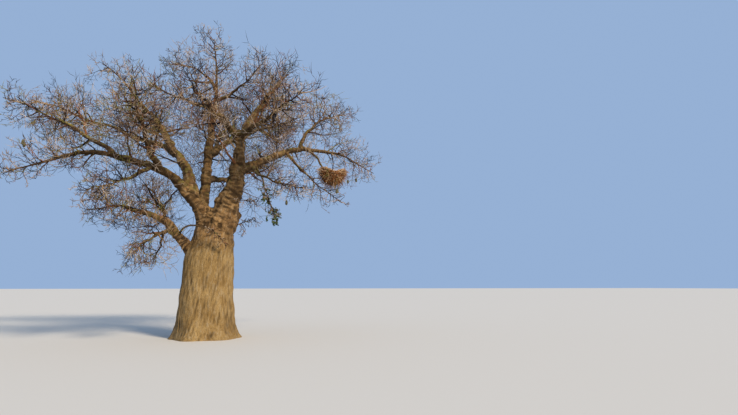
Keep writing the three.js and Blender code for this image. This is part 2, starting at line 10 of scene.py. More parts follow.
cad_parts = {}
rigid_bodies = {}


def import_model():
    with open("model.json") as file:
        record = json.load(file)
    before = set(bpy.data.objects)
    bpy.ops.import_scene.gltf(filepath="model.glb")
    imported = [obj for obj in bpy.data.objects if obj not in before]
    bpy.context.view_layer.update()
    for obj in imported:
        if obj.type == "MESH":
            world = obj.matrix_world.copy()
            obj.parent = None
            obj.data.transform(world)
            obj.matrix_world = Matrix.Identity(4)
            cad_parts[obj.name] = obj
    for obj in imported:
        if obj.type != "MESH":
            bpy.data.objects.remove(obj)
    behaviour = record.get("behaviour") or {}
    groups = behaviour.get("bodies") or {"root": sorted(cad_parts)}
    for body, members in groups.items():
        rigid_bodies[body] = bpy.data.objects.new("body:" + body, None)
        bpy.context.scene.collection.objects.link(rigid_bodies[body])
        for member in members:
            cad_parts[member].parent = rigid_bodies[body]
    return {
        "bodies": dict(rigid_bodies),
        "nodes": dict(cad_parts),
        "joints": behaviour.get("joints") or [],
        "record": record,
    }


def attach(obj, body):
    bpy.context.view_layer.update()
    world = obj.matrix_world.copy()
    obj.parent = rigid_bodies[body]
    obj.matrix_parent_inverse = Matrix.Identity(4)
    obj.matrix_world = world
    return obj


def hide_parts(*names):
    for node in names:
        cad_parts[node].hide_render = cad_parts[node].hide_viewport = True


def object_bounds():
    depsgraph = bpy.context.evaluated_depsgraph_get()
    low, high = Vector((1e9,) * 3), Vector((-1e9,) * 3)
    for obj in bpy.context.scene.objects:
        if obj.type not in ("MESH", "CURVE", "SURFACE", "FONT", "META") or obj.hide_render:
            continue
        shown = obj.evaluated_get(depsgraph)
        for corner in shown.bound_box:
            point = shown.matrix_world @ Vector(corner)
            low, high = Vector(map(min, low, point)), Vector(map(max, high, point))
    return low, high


# A bare baobab in its leafless season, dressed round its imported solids.
# Metres and degrees. Z is up, X is to the right and Y leads away from the camera.
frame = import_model()
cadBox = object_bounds()
print("frame loaded")

# The trunk's outline from its foot up: height, radius and lean to the right
trunk = {
    "outline": [
        (0.0, 1.28, 0.0), (0.26, 1.14, 0.0), (0.8, 1.035, -0.005), (1.5, 0.995, -0.005), (2.3, 0.93, 0.01),
        (3.0, 0.905, 0.035), (3.65, 0.775, 0.11), (4.15, 0.71, 0.16), (4.4, 0.62, 0.165), (4.54, 0.4, 0.15),
    ],
    "sides": 96, "rings": 60,
    "flareLobes": 6, "flareDepth": 0.06, "flareHeight": 0.55,
    "broadLobes": 3, "broadDepth": 0.02,
    "belowGround": 0.15,  # cut away again at the ground once the bark has its relief
}

# Each limb leaves its carrier at a part of that limb's length, or from a foot inside the trunk.
# Heading is seen from above, with 0 to the right and 90 away from the camera, and climb is above level.
# Bare is the part of the length that is the solid bough. Twigs hide the rest.
limbs = {
    "right_stem": dict(
        carrier="trunk", foot=(0.26, -0.04, 4.0), heading=-28, turn=-10, climb=66, endClimb=98, bend=1.4,
        length=4.2, thick=0.25, thin=0.12, collar=0.56, collarReach=1.6, bare=1),
    "left_bough": dict(
        carrier="trunk", foot=(-0.22, 0, 3.8), heading=-150, turn=-5, climb=117, endClimb=-36, bend=0.5,
        length=8.25, thick=0.245, thin=0.022, collar=0.18, collarReach=0.9, bare=0.62, spread=1.25,
        lift=0.3, pods=2),
    "middle_stem": dict(
        carrier="trunk", foot=(-0.24, -0.1, 4.0), heading=170, turn=-330, climb=82, endClimb=86, bend=0.8,
        length=8.0, thick=0.26, collar=0.1, collarReach=0.7, bare=0.77, spread=1.2, lift=0.2),
    "low_left_bough": dict(
        carrier="trunk", foot=(-0.6, -0.1, 2.6), heading=180, turn=45, climb=95, endClimb=-20, bend=0.7,
        length=4.9, thick=0.235, thin=0.02, collar=0.05, collarReach=0.6, bare=0.52, spread=1.3, lift=0.2),
    "upper_left_bough": dict(
        carrier="left_bough", at=0.21, heading=90, turn=75, climb=65, endClimb=45,
        length=7.75, thick=0.215, thin=0.02, collar=0.11, collarReach=0.6, bare=0.55, spread=1.45, lift=0.1),
    "left_high_bough": dict(
        carrier="left_bough", at=0.6, heading=150, turn=20, climb=46, endClimb=20,
        length=4.65, thick=0.09, collar=0.04, collarReach=0.2, bare=0.38, spread=1.15, lift=0.05),
    "left_hanging_bough": dict(
        carrier="left_bough", at=0.44, heading=-90, turn=-45, climb=-40, endClimb=-20,
        length=3.35, thick=0.085, collar=0.035, collarReach=0.2, bare=0.42, spread=1.2,
        lift=0.05),
    "left_front_bough": dict(
        carrier="left_bough", at=0.4, heading=-100, turn=15, climb=25, endClimb=15, bend=2.5,
        length=4.45, thick=0.125, collar=0.05, collarReach=0.25, bare=0.4, spread=1.7,
        lift=0.25),
    "mid_left_bough": dict(
        carrier="upper_left_bough", at=0.29, heading=145, turn=35, climb=22, endClimb=18, bend=2.5,
        length=7.55, thick=0.115, collar=0.045, collarReach=0.25, bare=0.46, spread=1.7,
        lift=0.15),
    "left_back_bough": dict(
        carrier="upper_left_bough", at=0.35, heading=100, turn=5, climb=45, endClimb=15,
        length=6.0, thick=0.125, collar=0.045, collarReach=0.25, bare=0.42, spread=1.8, lift=0.2),
    "inner_right_bough": dict(
        carrier="middle_stem", at=0.38, heading=40, turn=10, climb=45, endClimb=20,
        length=7.0, thick=0.14, collar=0.05, collarReach=0.25, bare=0.45, spread=1.8, lift=0.2),
    "centre_left_bough": dict(
        carrier="middle_stem", at=0.62, heading=130, turn=30, climb=20, endClimb=25,
        length=3.45, thick=0.09, collar=0.035, collarReach=0.2, bare=0.36, spread=1.6, lift=0.3),
    "top_right_bough": dict(
        carrier="middle_stem", at=0.67, heading=10, turn=-60, climb=20, endClimb=40,
        length=2.6, thick=0.08, thin=0.016, collar=0.03, collarReach=0.18, bare=0.38, spread=1.1, lift=0.15),
    "top_left_bough": dict(
        carrier="middle_stem", at=0.73, heading=135, turn=40, climb=55, endClimb=-15, bend=1.5,
        length=2.9, thick=0.07, thin=0.016, collar=0.025, collarReach=0.16, bare=0.36, spread=0.95,
        lift=0.05),
    "right_top_bough": dict(
        carrier="right_stem", at=0.9, heading=55, turn=-25, climb=65, endClimb=50,
        length=4.5, thick=0.205, collar=0.02, collarReach=0.2, bare=0.42, spread=1.4, lift=0.1,
        pods=1),
    "crown_front_bough": dict(
        carrier="right_stem", at=0.94, heading=-140, turn=35, climb=26, endClimb=0,
        length=4.25, thick=0.135, collar=0.045, collarReach=0.25, bare=0.42, spread=1.6,
        lift=0.15),
    "right_front_bough": dict(
        carrier="right_stem", at=0.95, heading=-55, turn=-10, climb=0, endClimb=15,
        length=4.25, thick=0.13, collar=0.045, collarReach=0.25, bare=0.4, spread=1.6,
        lift=0.15),
    "right_bough": dict(
        carrier="right_stem", at=0.55, heading=15, turn=0, climb=45, endClimb=-30, bend=1,
        length=6.95, thick=0.185, thin=0.02, collar=0.07, collarReach=0.4, bare=0.56, spread=1.4, lift=0.12,
        pods=2),
    "right_rising_bough": dict(
        carrier="right_bough", at=0.45, heading=50, turn=-20, climb=75, endClimb=15, bend=0.6,
        length=3.85, thick=0.09, collar=0.035, collarReach=0.2, bare=0.36, spread=1.4, lift=0.1),
    "right_hanging_bough": dict(
        carrier="right_bough", at=0.35, heading=-40, turn=20, climb=-45, endClimb=-30, bend=2.5,
        length=3.5, thick=0.065, thin=0.016, collar=0.03, collarReach=0.18, bare=0.45, spread=1.0, lift=0,
        pods=2),
    "right_low_bough": dict(
        carrier="right_bough", at=0.12, heading=-75, turn=20, climb=-50, endClimb=-10,
        length=3.75, thick=0.065, thin=0.016, collar=0.03, collarReach=0.18, bare=0.4, spread=0.95,
        lift=0.05, pods=1),
    "leafy_bough": dict(
        carrier="right_bough", at=0.14, heading=-55, turn=10, climb=-50, endClimb=-70,
        length=2.65, thick=0.05, thin=0.014, collar=0.025, collarReach=0.16, bare=0.38, spread=0.65,
        lift=-0.1),
    "nest_bough": dict(
        carrier="right_bough", at=0.48, heading=-30, turn=-10, climb=0, endClimb=-65,
        length=1.4, thick=0.06, thin=0.04, collar=0.02, collarReach=0.16, bare=1),
    "low_left_rising_bough": dict(
        carrier="low_left_bough", at=0.38, heading=120, turn=20, climb=50, endClimb=20, bend=2.5,
        length=2.8, thick=0.095, thin=0.016, collar=0.03, collarReach=0.18, bare=0.4, spread=1.15, lift=0.1),
    "low_left_front_bough": dict(
        carrier="low_left_bough", at=0.35, heading=-130, turn=15, climb=-15, endClimb=-40, bend=1,
        length=2.45, thick=0.085, thin=0.016, collar=0.03, collarReach=0.18, bare=0.42, spread=1.0,
        lift=-0.15),
    "crossing_bough": dict(
        carrier="low_left_bough", at=0.27, heading=-80, turn=95, climb=47, endClimb=-60, bend=0.9,
        length=2.7, thick=0.048, thin=0.012, collar=0.025, collarReach=0.15, bare=0.62, spread=0.35, lift=0),
    "back_right_bough": dict(
        carrier="middle_stem", at=0.27, heading=75, turn=-30, climb=-5, endClimb=30,
        length=6.2, thick=0.15, collar=0.05, collarReach=0.25, bare=0.45, spread=1.8, lift=0.25,
        pods=1),
    "back_bough": dict(
        carrier="middle_stem", at=0.31, heading=80, turn=0, climb=45, endClimb=20, bend=1,
        length=6.2, thick=0.15, collar=0.05, collarReach=0.25, bare=0.42, spread=1.8, lift=0.25),
    "trunk_shoots": dict(
        carrier="trunk", foot=(0.7, -0.25, 4.15), heading=-25, turn=15, climb=20, endClimb=25, bend=1,
        length=1.15, thick=0.026, thin=0.01, collar=0, collarReach=0.1, bare=0, spread=0.62, lift=-0.15),
    "stem_shoots": dict(
        carrier="right_stem", at=0.3, heading=-40, turn=20, climb=15, endClimb=-20, bend=1,
        length=1.25, thick=0.024, thin=0.01, collar=0, collarReach=0.1, bare=0, spread=0.56, lift=-0.1),
}
usualLimb = {"bend": 0.4, "thin": 0.018}  # what a limb has where it states no other
limbs = {name: {**usualLimb, **limb} for name, limb in limbs.items()}
boughNames = [name for name in limbs if limbs[name]["bare"] > 0]

# How a limb sways along its length, as in the solids
limbShape = {
    "steps": 48, "swayAngle": 9, "swayTurns": 2.3, "nodAngle": 7, "nodTurns": 2.9,
    "taper": 1.2, "levels": 7, "footward": 1.3, "buriedFoot": 0.5, "roundedEnd": 0.5,
}

goldenStep, goldenTurn = 0.618034, 137.508


def chance(seed):  # the same number from 0 to 1 for the same seed
    value = np.sin(np.asarray(seed, float) * 12.9898) * 43758.5453
    return value - np.floor(value)


def fraction(value):
    return value - np.floor(value)


def scattered(seed, *offsets):  # a small random way for each seed, from -0.5 to 0.5 each way
    return np.stack([chance(seed + offset) for offset in offsets], axis=1) - 0.5


def between(low, high, part):
    return low + (high - low) * part


def smoothly(value, start, end):  # from 0 at start to 1 at end, with soft ends
    part = np.clip((value - start) / (end - start), 0, 1)
    return part * part * (3 - 2 * part)


def unit(ways):
    return ways / np.linalg.norm(ways, axis=-1, keepdims=True)


def direction(heading, climb):
    heading, climb = np.radians(heading), np.radians(climb)
    level = np.cos(climb)
    return np.stack([level * np.cos(heading), level * np.sin(heading), np.sin(climb)], axis=-1)


def limbCurve(limb, foot, seed):
    part = (np.arange(limbShape["steps"]) + 0.5) / limbShape["steps"]
    bent = part ** limb["bend"]
    swayed = limbShape["swayAngle"] * np.sin(2 * np.pi * (limbShape["swayTurns"] * part + chance(seed)))
    nodded = limbShape["nodAngle"] * np.sin(2 * np.pi * (limbShape["nodTurns"] * part + chance(seed + 0.5)))
    climb = limb["climb"] + (limb["endClimb"] - limb["climb"]) * bent + nodded
    ways = direction(limb["heading"] + limb["turn"] * bent + swayed, climb)
    steps = np.cumsum(ways * limb["length"] / limbShape["steps"], axis=0)
    return np.vstack([foot, foot + steps])


def placeOn(lines, parts):  # the point before each part of its line, and how far on from it
    last = lines.shape[-2] - 1
    place = np.clip(parts, 0, 1) * last
    before = np.minimum(place.astype(int), last - 1)
    rows = (before,) if lines.ndim == 2 else (np.arange(len(lines)), before)
    after = (before + 1,) if lines.ndim == 2 else (np.arange(len(lines)), before + 1)
    return lines[rows], lines[after], (place - before)[:, None]


def pointsOn(lines, parts):  # one line for all the parts, or one line for each
    before, after, onward = placeOn(lines, np.asarray(parts, float))
    return before * (1 - onward) + after * onward


def waysOn(lines, parts):
    before, after, _ = placeOn(lines, np.asarray(parts, float))
    return unit(after - before)


def limbRadius(limb, part):
    swelling = limb["collar"] * np.exp(-part * limb["length"] / limb["collarReach"])
    return limb["thin"] + (limb["thick"] - limb["thin"]) * (1 - part) ** limbShape["taper"] + swelling


curves = {}
for index, (name, limb) in enumerate(limbs.items()):
    foot = limb["foot"] if "foot" in limb else pointsOn(curves[limb["carrier"]], [limb["at"]])[0]
    curves[name] = limbCurve(limb, np.array(foot, float), index + 1)


def distances(points, starts, ends):  # from each point to each short straight length, and where on it
    way = ends - starts
    offset = points[:, None, :] - starts[None]
    part = np.clip(np.einsum("nkc,kc->nk", offset, way) / (way ** 2).sum(1), 0, 1)
    offset -= part[..., None] * way
    return np.sqrt((offset ** 2).sum(2)), part


# Finishes

class Flow:  # a socket whose maths adds Math nodes
    def __init__(self, finish, socket):
        self.finish, self.socket = finish, socket

    def maths(self, operation, first, second):
        return self.finish.make("ShaderNodeMath", {"operation": operation}, {0: first, 1: second})

    def __add__(self, other):
        return self.maths("ADD", self, other)

    def __radd__(self, other):
        return self.maths("ADD", other, self)

    def __sub__(self, other):
        return self.maths("SUBTRACT", self, other)

    def __rsub__(self, other):
        return self.maths("SUBTRACT", other, self)

    def __mul__(self, other):
        return self.maths("MULTIPLY", self, other)

    def __rmul__(self, other):
        return self.maths("MULTIPLY", other, self)


def tone(red, green, blue):  # a colour as a screen shows it, for a shader
    return tuple(((part / 255) ** 2.2) for part in (red, green, blue)) + (1.0,)


class Finish:
    def __init__(self, name, roughness):
        self.material = bpy.data.materials.new(name)
        self.material.use_nodes = True
        self.tree = self.material.node_tree
        self.shader = self.tree.nodes["Principled BSDF"]
        self.shader.inputs["Roughness"].default_value = roughness
        self.shader.inputs["Specular IOR Level"].default_value = 0.25

    def feed(self, socket, value):
        if isinstance(value, Flow):
            self.tree.links.new(value.socket, socket)
        else:
            socket.default_value = value

    def make(self, kind, settings, inputs, output=0):
        node = self.tree.nodes.new(kind)
        for key, value in settings.items():
            setattr(node, key, value)
        for key, value in inputs.items():
            self.feed(node.inputs[key], value)
        return Flow(self, node.outputs[output])

    def place(self):
        return self.make("ShaderNodeTexCoord", {}, {}, "Object")

    def attribute(self, name, output):
        return self.make("ShaderNodeAttribute", {"attribute_name": name}, {}, output)

    def noise(self, vector, scale, detail=4.0, roughness=0.55, stretch=(1, 1, 1)):
        stretched = self.make("ShaderNodeVectorMath", {"operation": "MULTIPLY"}, {0: vector, 1: stretch})
        inputs = {"Vector": stretched, "Scale": scale, "Detail": detail, "Roughness": roughness}
        return self.make("ShaderNodeTexNoise", {}, inputs)

    def ranged(self, value, low, high):
        return self.make("ShaderNodeMapRange", {}, {"Value": value, "From Min": low, "From Max": high})

    def mixed(self, part, first, second):
        return self.make("ShaderNodeMix", {"data_type": "RGBA"}, {0: part, 6: first, 7: second}, 2)

    def bump(self, height, strength, distance):
        inputs = {"Height": height, "Strength": strength, "Distance": distance}
        self.feed(self.shader.inputs["Normal"], self.make("ShaderNodeBump", {}, inputs))

    def colour(self, value):
        self.feed(self.shader.inputs["Base Color"], value)


barkTones = {
    "lit": tone(158, 130, 84), "warm": tone(132, 104, 61), "brown": tone(98, 75, 43),
    "limb": tone(162, 126, 82), "limbDeep": tone(94, 68, 42),
    # The darkest tone is both the dark of fine fissure lines and the painted shade in creases and under
    # limbs.
    "fissureAndShade": tone(36, 25, 15), "grey": tone(158, 142, 116), "lichen": tone(138, 130, 60),
    "rust": tone(156, 102, 50), "thin": tone(50, 38, 28),
}
# Each pattern's scale, detail and roughness, and how it is stretched across and along the limb
barkPatterns = {
    "broad": (1.6, 3.0), "streaks": (17.0, 6.0, 0.65, (1, 1, 0.16)), "hairs": (44.0, 4.0, 0.65, (1, 1, 0.22)),
    "rings": (13.0, 5.0, 0.6, (0.3, 0.3, 1)), "grain": (40.0, 4.0), "spots": (5.0, 5.0), "rust": (3.0, 3.0),
}


def barkFinish():
    finish = Finish("baobab bark", 0.88)
    wood = finish.attribute("wood", "Vector")
    paintedShade, trunkness, lichen, thinness = (
        finish.attribute(name, "Fac") for name in ("paintedShade", "trunkness", "lichen", "thinness"))
    patterns = {name: finish.noise(wood, *numbers) for name, numbers in barkPatterns.items()}
    streaks, hairs, rings, grain = (patterns[name] for name in ("streaks", "hairs", "rings", "grain"))
    patches = finish.ranged(patterns["broad"], 0.35, 0.65)
    smooth = finish.mixed(patches, barkTones["lit"], barkTones["warm"])
    rough = finish.mixed(patches, barkTones["limb"], barkTones["limbDeep"])
    colour = finish.mixed(trunkness, rough, smooth)
    colour = finish.mixed(thinness * 0.75, colour, barkTones["thin"])
    colour = finish.mixed(finish.ranged(streaks, 0.5, 0.66) * 0.6, colour, barkTones["grey"])
    colour = finish.mixed(finish.ranged(streaks, 0.47, 0.33) * 0.7, colour, barkTones["brown"])
    colour = finish.mixed(finish.ranged(hairs, 0.47, 0.33) * 0.55, colour, barkTones["fissureAndShade"])
    darkRings = finish.ranged(rings, 0.5, 0.34) * (0.95 - 0.85 * trunkness)
    colour = finish.mixed(darkRings, colour, barkTones["fissureAndShade"])
    # Painted shade: the bark is drawn towards its darkest tone in the creases and on the limbs' undersides.
    colour = finish.mixed(paintedShade * 0.85, colour, barkTones["fissureAndShade"])
    rusty = finish.ranged(patterns["rust"], 0.52, 0.6)
    lichenTone = finish.mixed(rusty, barkTones["lichen"], barkTones["rust"])
    colour = finish.mixed(lichen * finish.ranged(patterns["spots"], 0.45, 0.6), colour, lichenTone)
    colour = finish.mixed(finish.ranged(grain, 0.6, 0.4) * 0.4, colour, barkTones["brown"])
    finish.colour(colour)
    height = streaks * (0.3 + 0.6 * trunkness) + rings * (0.9 - 0.7 * trunkness) + grain * 0.3 + hairs * 0.3
    finish.bump(height, 0.9, 0.03)
    return finish.material


def twigFinish(name, pale, deep):
    finish = Finish(name, 0.85)
    place = finish.place()
    patches = finish.noise(place, 9.0, 3.0)
    specks = finish.noise(place, 90.0, 3.0)
    finish.colour(finish.mixed(finish.ranged(patches, 0.35, 0.65), pale, deep))
    finish.bump(specks, 0.5, 0.004)
    return finish.material


# Meshes

def addPiece(name, mesh, material, replaced):
    piece = bpy.data.objects.new(name, mesh)
    bpy.context.scene.collection.objects.link(piece)
    mesh.materials.clear()
    mesh.materials.append(material)
    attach(piece, "root")
    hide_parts(*replaced)
    triangles = sum(len(polygon.vertices) - 2 for polygon in mesh.polygons)
    print(f"{name}: {triangles} triangles")


def framesAlong(points):  # two ways square to each place on a line, carried along it without a twist
    ways = unit(np.gradient(points, axis=0))
    across = np.array([0.0, 1.0, 0.0]) if abs(ways[0, 0]) > 0.8 else np.array([1.0, 0.0, 0.0])
    sides = []
    for way in ways:
        across = unit(across - way * across.dot(way))
        sides.append(across)
    sides = np.array(sides)
    return sides, np.cross(ways, sides)


def addRing(mesh, centre, across, over, radius, sides):
    turned = Matrix((across, over, np.cross(across, over))).transposed().to_4x4()
    turned.translation = centre
    made = bmesh.ops.create_circle(mesh, segments=sides, radius=radius, matrix=turned)
    return list(dict.fromkeys(edge for vert in made["verts"] for edge in vert.link_edges))


def closeRings(mesh, rings):
    for lower, upper in zip(rings, rings[1:]):
        bmesh.ops.bridge_loops(mesh, edges=lower + upper)
    bmesh.ops.holes_fill(mesh, edges=rings[0] + rings[-1], sides=0)
    bmesh.ops.recalc_face_normals(mesh, faces=mesh.faces)


def meshOf(shape, name):
    mesh = bpy.data.meshes.new(name)
    shape.to_mesh(mesh)
    shape.free()
    return mesh


# The bark: every limb lofted, grown together and given its relief

bark = {
    "sides": 20, "stationEvery": 0.09, "footRun": 0.4, "endRun": 0.35,
    "endRadius": 0.045,  # where the grown-together bark hands over to the tubes that carry the twigs
    "endLap": 0.22, "endNarrow": 0.55, "endSteps": 60, "latestEnd": 0.97,
    "gnarl": 0.18, "gnarlLength": 0.6, "gnarlMost": 0.1,  # how far a limb strays from its middle line
    "voxel": 0.024, "smoothing": 4, "inward": 0.5, "outward": -0.52,
    "webRounds": 54, "webbing": 0.5, "normalsEvery": 6,  # how far the creases between limbs fill up
    "evenRounds": 260, "evening": 0.5,  # how far the stout limbs' feet run into each other
    "evenThick": (0.16, 0.3), "evenFrom": (3.3, 4.1), "evenTo": (4.8, 5.5),  # their radii and heights
    "patternStep": 7.0,  # how far apart along the wood the limbs' patterns start
}
# Each layer of the relief has its height, how it is drawn out across and along the wood, its wavelength
# and its seed. The trunk's heights are metres, and a limb's are shares of its radius.
even, drawnOut, ringed = (1, 1, 1), (1, 1, 0.16), (0.3, 0.3, 1)
reliefLayers = {
    "folds": ((0.004, drawnOut, 0.3, 3), (0.005, (1, 1, 0.256), 0.1, 5)),
    "swell": ((0.018, even, 1.4, 7), (0.008, even, 0.6, 9)),
    "creases": ((0.006, ringed, 0.15, 11), (0.006, even, 0.16, 12), (0.01, even, 0.4, 13)),
    "ribs": ((0.025, drawnOut, 0.2, 15), (0.035, even, 0.35, 17)),
    "wrinkles": ((0.035, ringed, 0.13, 19),),
    "knots": ((1, even, 0.42, 21),),
    "limbSwell": ((0.05, even, 0.9, 23),),
}
relief = {
    "stoutest": 0.3, "knotHeight": 0.17, "knotsAbove": 1.15, "creasesFrom": (3.3, 4.3),
    # The painted shade in the creases is darkest at these depths.
    "trunkHollow": 0.02, "limbHollow": 0.07,  # how deep a crease is at its darkest
}
# From and to where the bark's tones change: heights, slopes, radii and how far to the left
barkZones = {
    # The underside slopes and heights set where painted shade darkens the limbs' undersides.
    "smoothTrunk": (3.0, 4.1), "thin": (0.06, 0.15), "undersideShade": (-0.2, 0.55), "undersideShadeHigh": (4.2, 5.4),
    "lichenSlope": (-0.1, 0.6), "lichenHigh": (4.6, 6), "lichenLeft": (0.3, 2.5),
    "lichen": 0.9, "lichenOnRight": 0.45,
}


def splineThrough(values, parts):  # a smooth line through values that are evenly spaced in part
    values = np.asarray(values, float)
    last = len(values) - 1
    padded = np.vstack([2 * values[0] - values[1], values, 2 * values[-1] - values[-2]])
    place = np.clip(parts, 0, 1) * last
    before = np.minimum(place.astype(int), last - 1)
    t = (place - before)[:, None]
    first, second, third, fourth = (padded[before + step] for step in range(4))
    bent = 2 * first - 5 * second + 4 * third - fourth
    curled = -first + 3 * second - 3 * third + fourth
    return 0.5 * (2 * second + (third - first) * t + bent * t ** 2 + curled * t ** 3)


def trunkMesh():
    mesh = bmesh.new()
    rings = []
    levels = splineThrough(trunk["outline"], np.linspace(0, 1, trunk["rings"]))
    below = levels[0] - np.array([trunk["belowGround"], 0, 0])
    for height, radius, lean in np.vstack([below, levels]):
        ring = addRing(mesh, (lean, 0, height), (1, 0, 0), (0, 1, 0), radius, trunk["sides"])
        for vert in {vert for edge in ring for vert in edge.verts}:
            angle = math.atan2(vert.co.y, vert.co.x - lean)
            flare = trunk["flareDepth"] * math.exp(-max(height, 0) / trunk["flareHeight"])
            lobes = flare * math.cos(trunk["flareLobes"] * angle)
            broad = trunk["broadDepth"] * math.cos(trunk["broadLobes"] * angle + 1)
            vert.co.x = lean + (vert.co.x - lean) * (1 + lobes + broad)
            vert.co.y *= 1 + lobes + broad
        rings.append(ring)
    closeRings(mesh, rings)
    return mesh


def barkEnd(limb):  # the part of a limb where its grown-together bark ends
    if limb["bare"] == 1:
        return 1.0
    parts = np.linspace(limb["bare"], 1, bark["endSteps"])
    stout = parts[limbRadius(limb, parts) > bark["endRadius"]]
    lap = bark["endLap"] / limb["length"]
    return min(max(limb["bare"] + lap, stout.max() if len(stout) else 0), bark["latestEnd"])


def limbMesh(name):
    limb, curve = limbs[name], curves[name]
    end = barkEnd(limb)
    count = max(6, round(end * limb["length"] / bark["stationEvery"]))
    parts = np.linspace(0, end, count)
    run = parts * limb["length"]
    radii = limbRadius(limb, parts)
    if limb["carrier"] == "trunk":
        radii *= between(limbShape["buriedFoot"], 1, smoothly(run, 0, bark["footRun"]))
    narrow = limbShape["roundedEnd"] if limb["bare"] == 1 else bark["endNarrow"]
    radii *= between(1, narrow, smoothly(run, run[-1] - bark["endRun"], run[-1]))
    points = pointsOn(curve, parts)
    strays = np.stack([waves(points, bark["gnarlLength"], 31 + axis) for axis in range(3)], axis=1)
    points = points + bark["gnarl"] * np.minimum(radii, bark["gnarlMost"])[:, None] * strays
    across, over = framesAlong(points)
    mesh = bmesh.new()
    rings = [addRing(mesh, *station, bark["sides"]) for station in zip(points, across, over, radii)]
    closeRings(mesh, rings)
    return mesh


def readPoints(mesh):
    places = np.empty(len(mesh.vertices) * 3)
    mesh.vertices.foreach_get("co", places)
    return places.reshape(-1, 3)


def readNormals(mesh):
    normals = np.empty(len(mesh.vertices) * 3)
    mesh.vertex_normals.foreach_get("vector", normals)
    return normals.reshape(-1, 3)


def writePoints(mesh, places):
    mesh.vertices.foreach_set("co", places.ravel())
    mesh.update()


def writeAttribute(mesh, name, values):
    vector = values.ndim == 2
    layer = mesh.attributes.new(name, "FLOAT_VECTOR" if vector else "FLOAT", "POINT")
    layer.data.foreach_set("vector" if vector else "value", values.astype(np.float32).ravel())


def edgesOf(mesh):
    edges = np.empty(len(mesh.edges) * 2, int)
    mesh.edges.foreach_get("vertices", edges)
    return edges.reshape(-1, 2).T


def meanAround(places, edges):  # the middle of each point's neighbours
    first, second = edges
    count = len(places)
    near = np.bincount(first, minlength=count) + np.bincount(second, minlength=count)
    mean = np.empty_like(places)
    for axis in range(3):
        column = places[:, axis]
        total = np.bincount(first, column[second], count) + np.bincount(second, column[first], count)
        mean[:, axis] = total / np.maximum(near, 1)
    return mean


def smoothed(places, edges, rounds):  # evened out and pushed back, so that thin limbs stay thick
    for step in range(2 * rounds):
        share = bark["inward"] if step % 2 == 0 else bark["outward"]
        places = places + share * (meanAround(places, edges) - places)
    return places


def webbed(mesh, places, edges):  # raises only what lies in a crease
    for step in range(bark["webRounds"]):
        if step % bark["normalsEvery"] == 0:
            writePoints(mesh, places)
            normals = readNormals(mesh)
        rise = ((meanAround(places, edges) - places) * normals).sum(1)
        places = places + bark["webbing"] * np.maximum(rise, 0)[:, None] * normals
    return places


def evened(places, thick, edges):  # the trunk's shoulder, where the stout limbs meet
    height = places[:, 2]
    share = smoothly(thick, *bark["evenThick"]) * smoothly(height, *bark["evenFrom"])
    share *= 1 - smoothly(height, *bark["evenTo"])
    near = share > 0
    joined = near[edges].all(0)
    order = np.cumsum(near) - 1
    nearEdges, nearPlaces, share = order[edges[:, joined]], places[near], share[near][:, None]
    lonely = np.bincount(nearEdges.ravel(), minlength=len(nearPlaces)) == 0
    share[lonely] = 0
    for _ in range(bark["evenRounds"]):
        mean = np.where(lonely[:, None], nearPlaces, meanAround(nearPlaces, nearEdges))
        nearPlaces = nearPlaces + bark["evening"] * share * (mean - nearPlaces)
    places[near] = nearPlaces
    return places


def waves(points, length, seed, count=14):  # smooth unevenness of about this wavelength, mostly -2 to 2
    spread = np.arange(count)
    climb = np.degrees(np.arcsin(2 * chance(seed + spread * 1.37) - 1))
    ways = direction(360 * chance(seed + spread * 1.71 + 0.3), climb)
    ways *= (2 * np.pi / length * between(0.7, 1.3, chance(seed + spread * 2.13)))[:, None]
    total = np.sin(points @ ways.T + 2 * np.pi * chance(seed + spread * 0.93)).sum(1)
    return total / math.sqrt(count / 2)


def grownTogether():
    whole = bmesh.new()
    owner = []
    for index, name in enumerate(["trunk"] + boughNames):
        mesh = meshOf(trunkMesh() if name == "trunk" else limbMesh(name), name)
        whole.from_mesh(mesh)
        owner += [index] * len(mesh.polygons)
        bpy.data.meshes.remove(mesh)
    surface = BVHTree.FromBMesh(whole)
    loose = meshOf(whole, "loose bark")
    holder = bpy.data.objects.new("loose bark", loose)
    bpy.context.scene.collection.objects.link(holder)
    remesh = holder.modifiers.new("grown together", "REMESH")
    remesh.mode = "VOXEL"
    remesh.voxel_size = bark["voxel"]
    grown = bpy.data.meshes.new_from_object(holder.evaluated_get(bpy.context.evaluated_depsgraph_get()))
    bpy.data.objects.remove(holder)
    edges = edgesOf(grown)
    places = smoothed(readPoints(grown), edges, bark["smoothing"])
    places = smoothed(webbed(grown, places, edges), edges, 1)
    writePoints(grown, places)
    nearest = np.array([surface.find_nearest(place)[2] for place in places.tolist()])
    return grown, places, np.array(owner)[nearest]


def woodPlaces(places, owners):  # where each point lies on its own limb: square to it, and along it
    wood = np.empty_like(places)
    thick = np.ones(len(places))
    trunkHere = owners == 0
    leans = np.array(trunk["outline"])
    lean = np.interp(places[trunkHere, 2], leans[:, 0], leans[:, 2])
    wood[trunkHere] = places[trunkHere] - np.stack([lean, 0 * lean, 0 * lean], axis=1)
    for index, name in enumerate(boughNames, start=1):
        here = owners == index
        curve, limb = curves[name], limbs[name]
        distance, part = distances(places[here], curve[:-1], curve[1:])
        step = distance.argmin(1)
        onward = part[np.arange(len(step)), step]
        across, over = framesAlong(curve)
        offset = places[here] - curve[step]
        run = (step + onward) / limbShape["steps"]
        wood[here, 0] = (offset * across[step]).sum(1)
        wood[here, 1] = (offset * over[step]).sum(1)
        wood[here, 2] = run * limb["length"] + bark["patternStep"] * index
        thick[here] = limbRadius(limb, run)
    return wood, thick


def layered(wood, name):
    return sum(
        height * waves(wood * np.array(drawn), length, seed)
        for height, drawn, length, seed in reliefLayers[name])


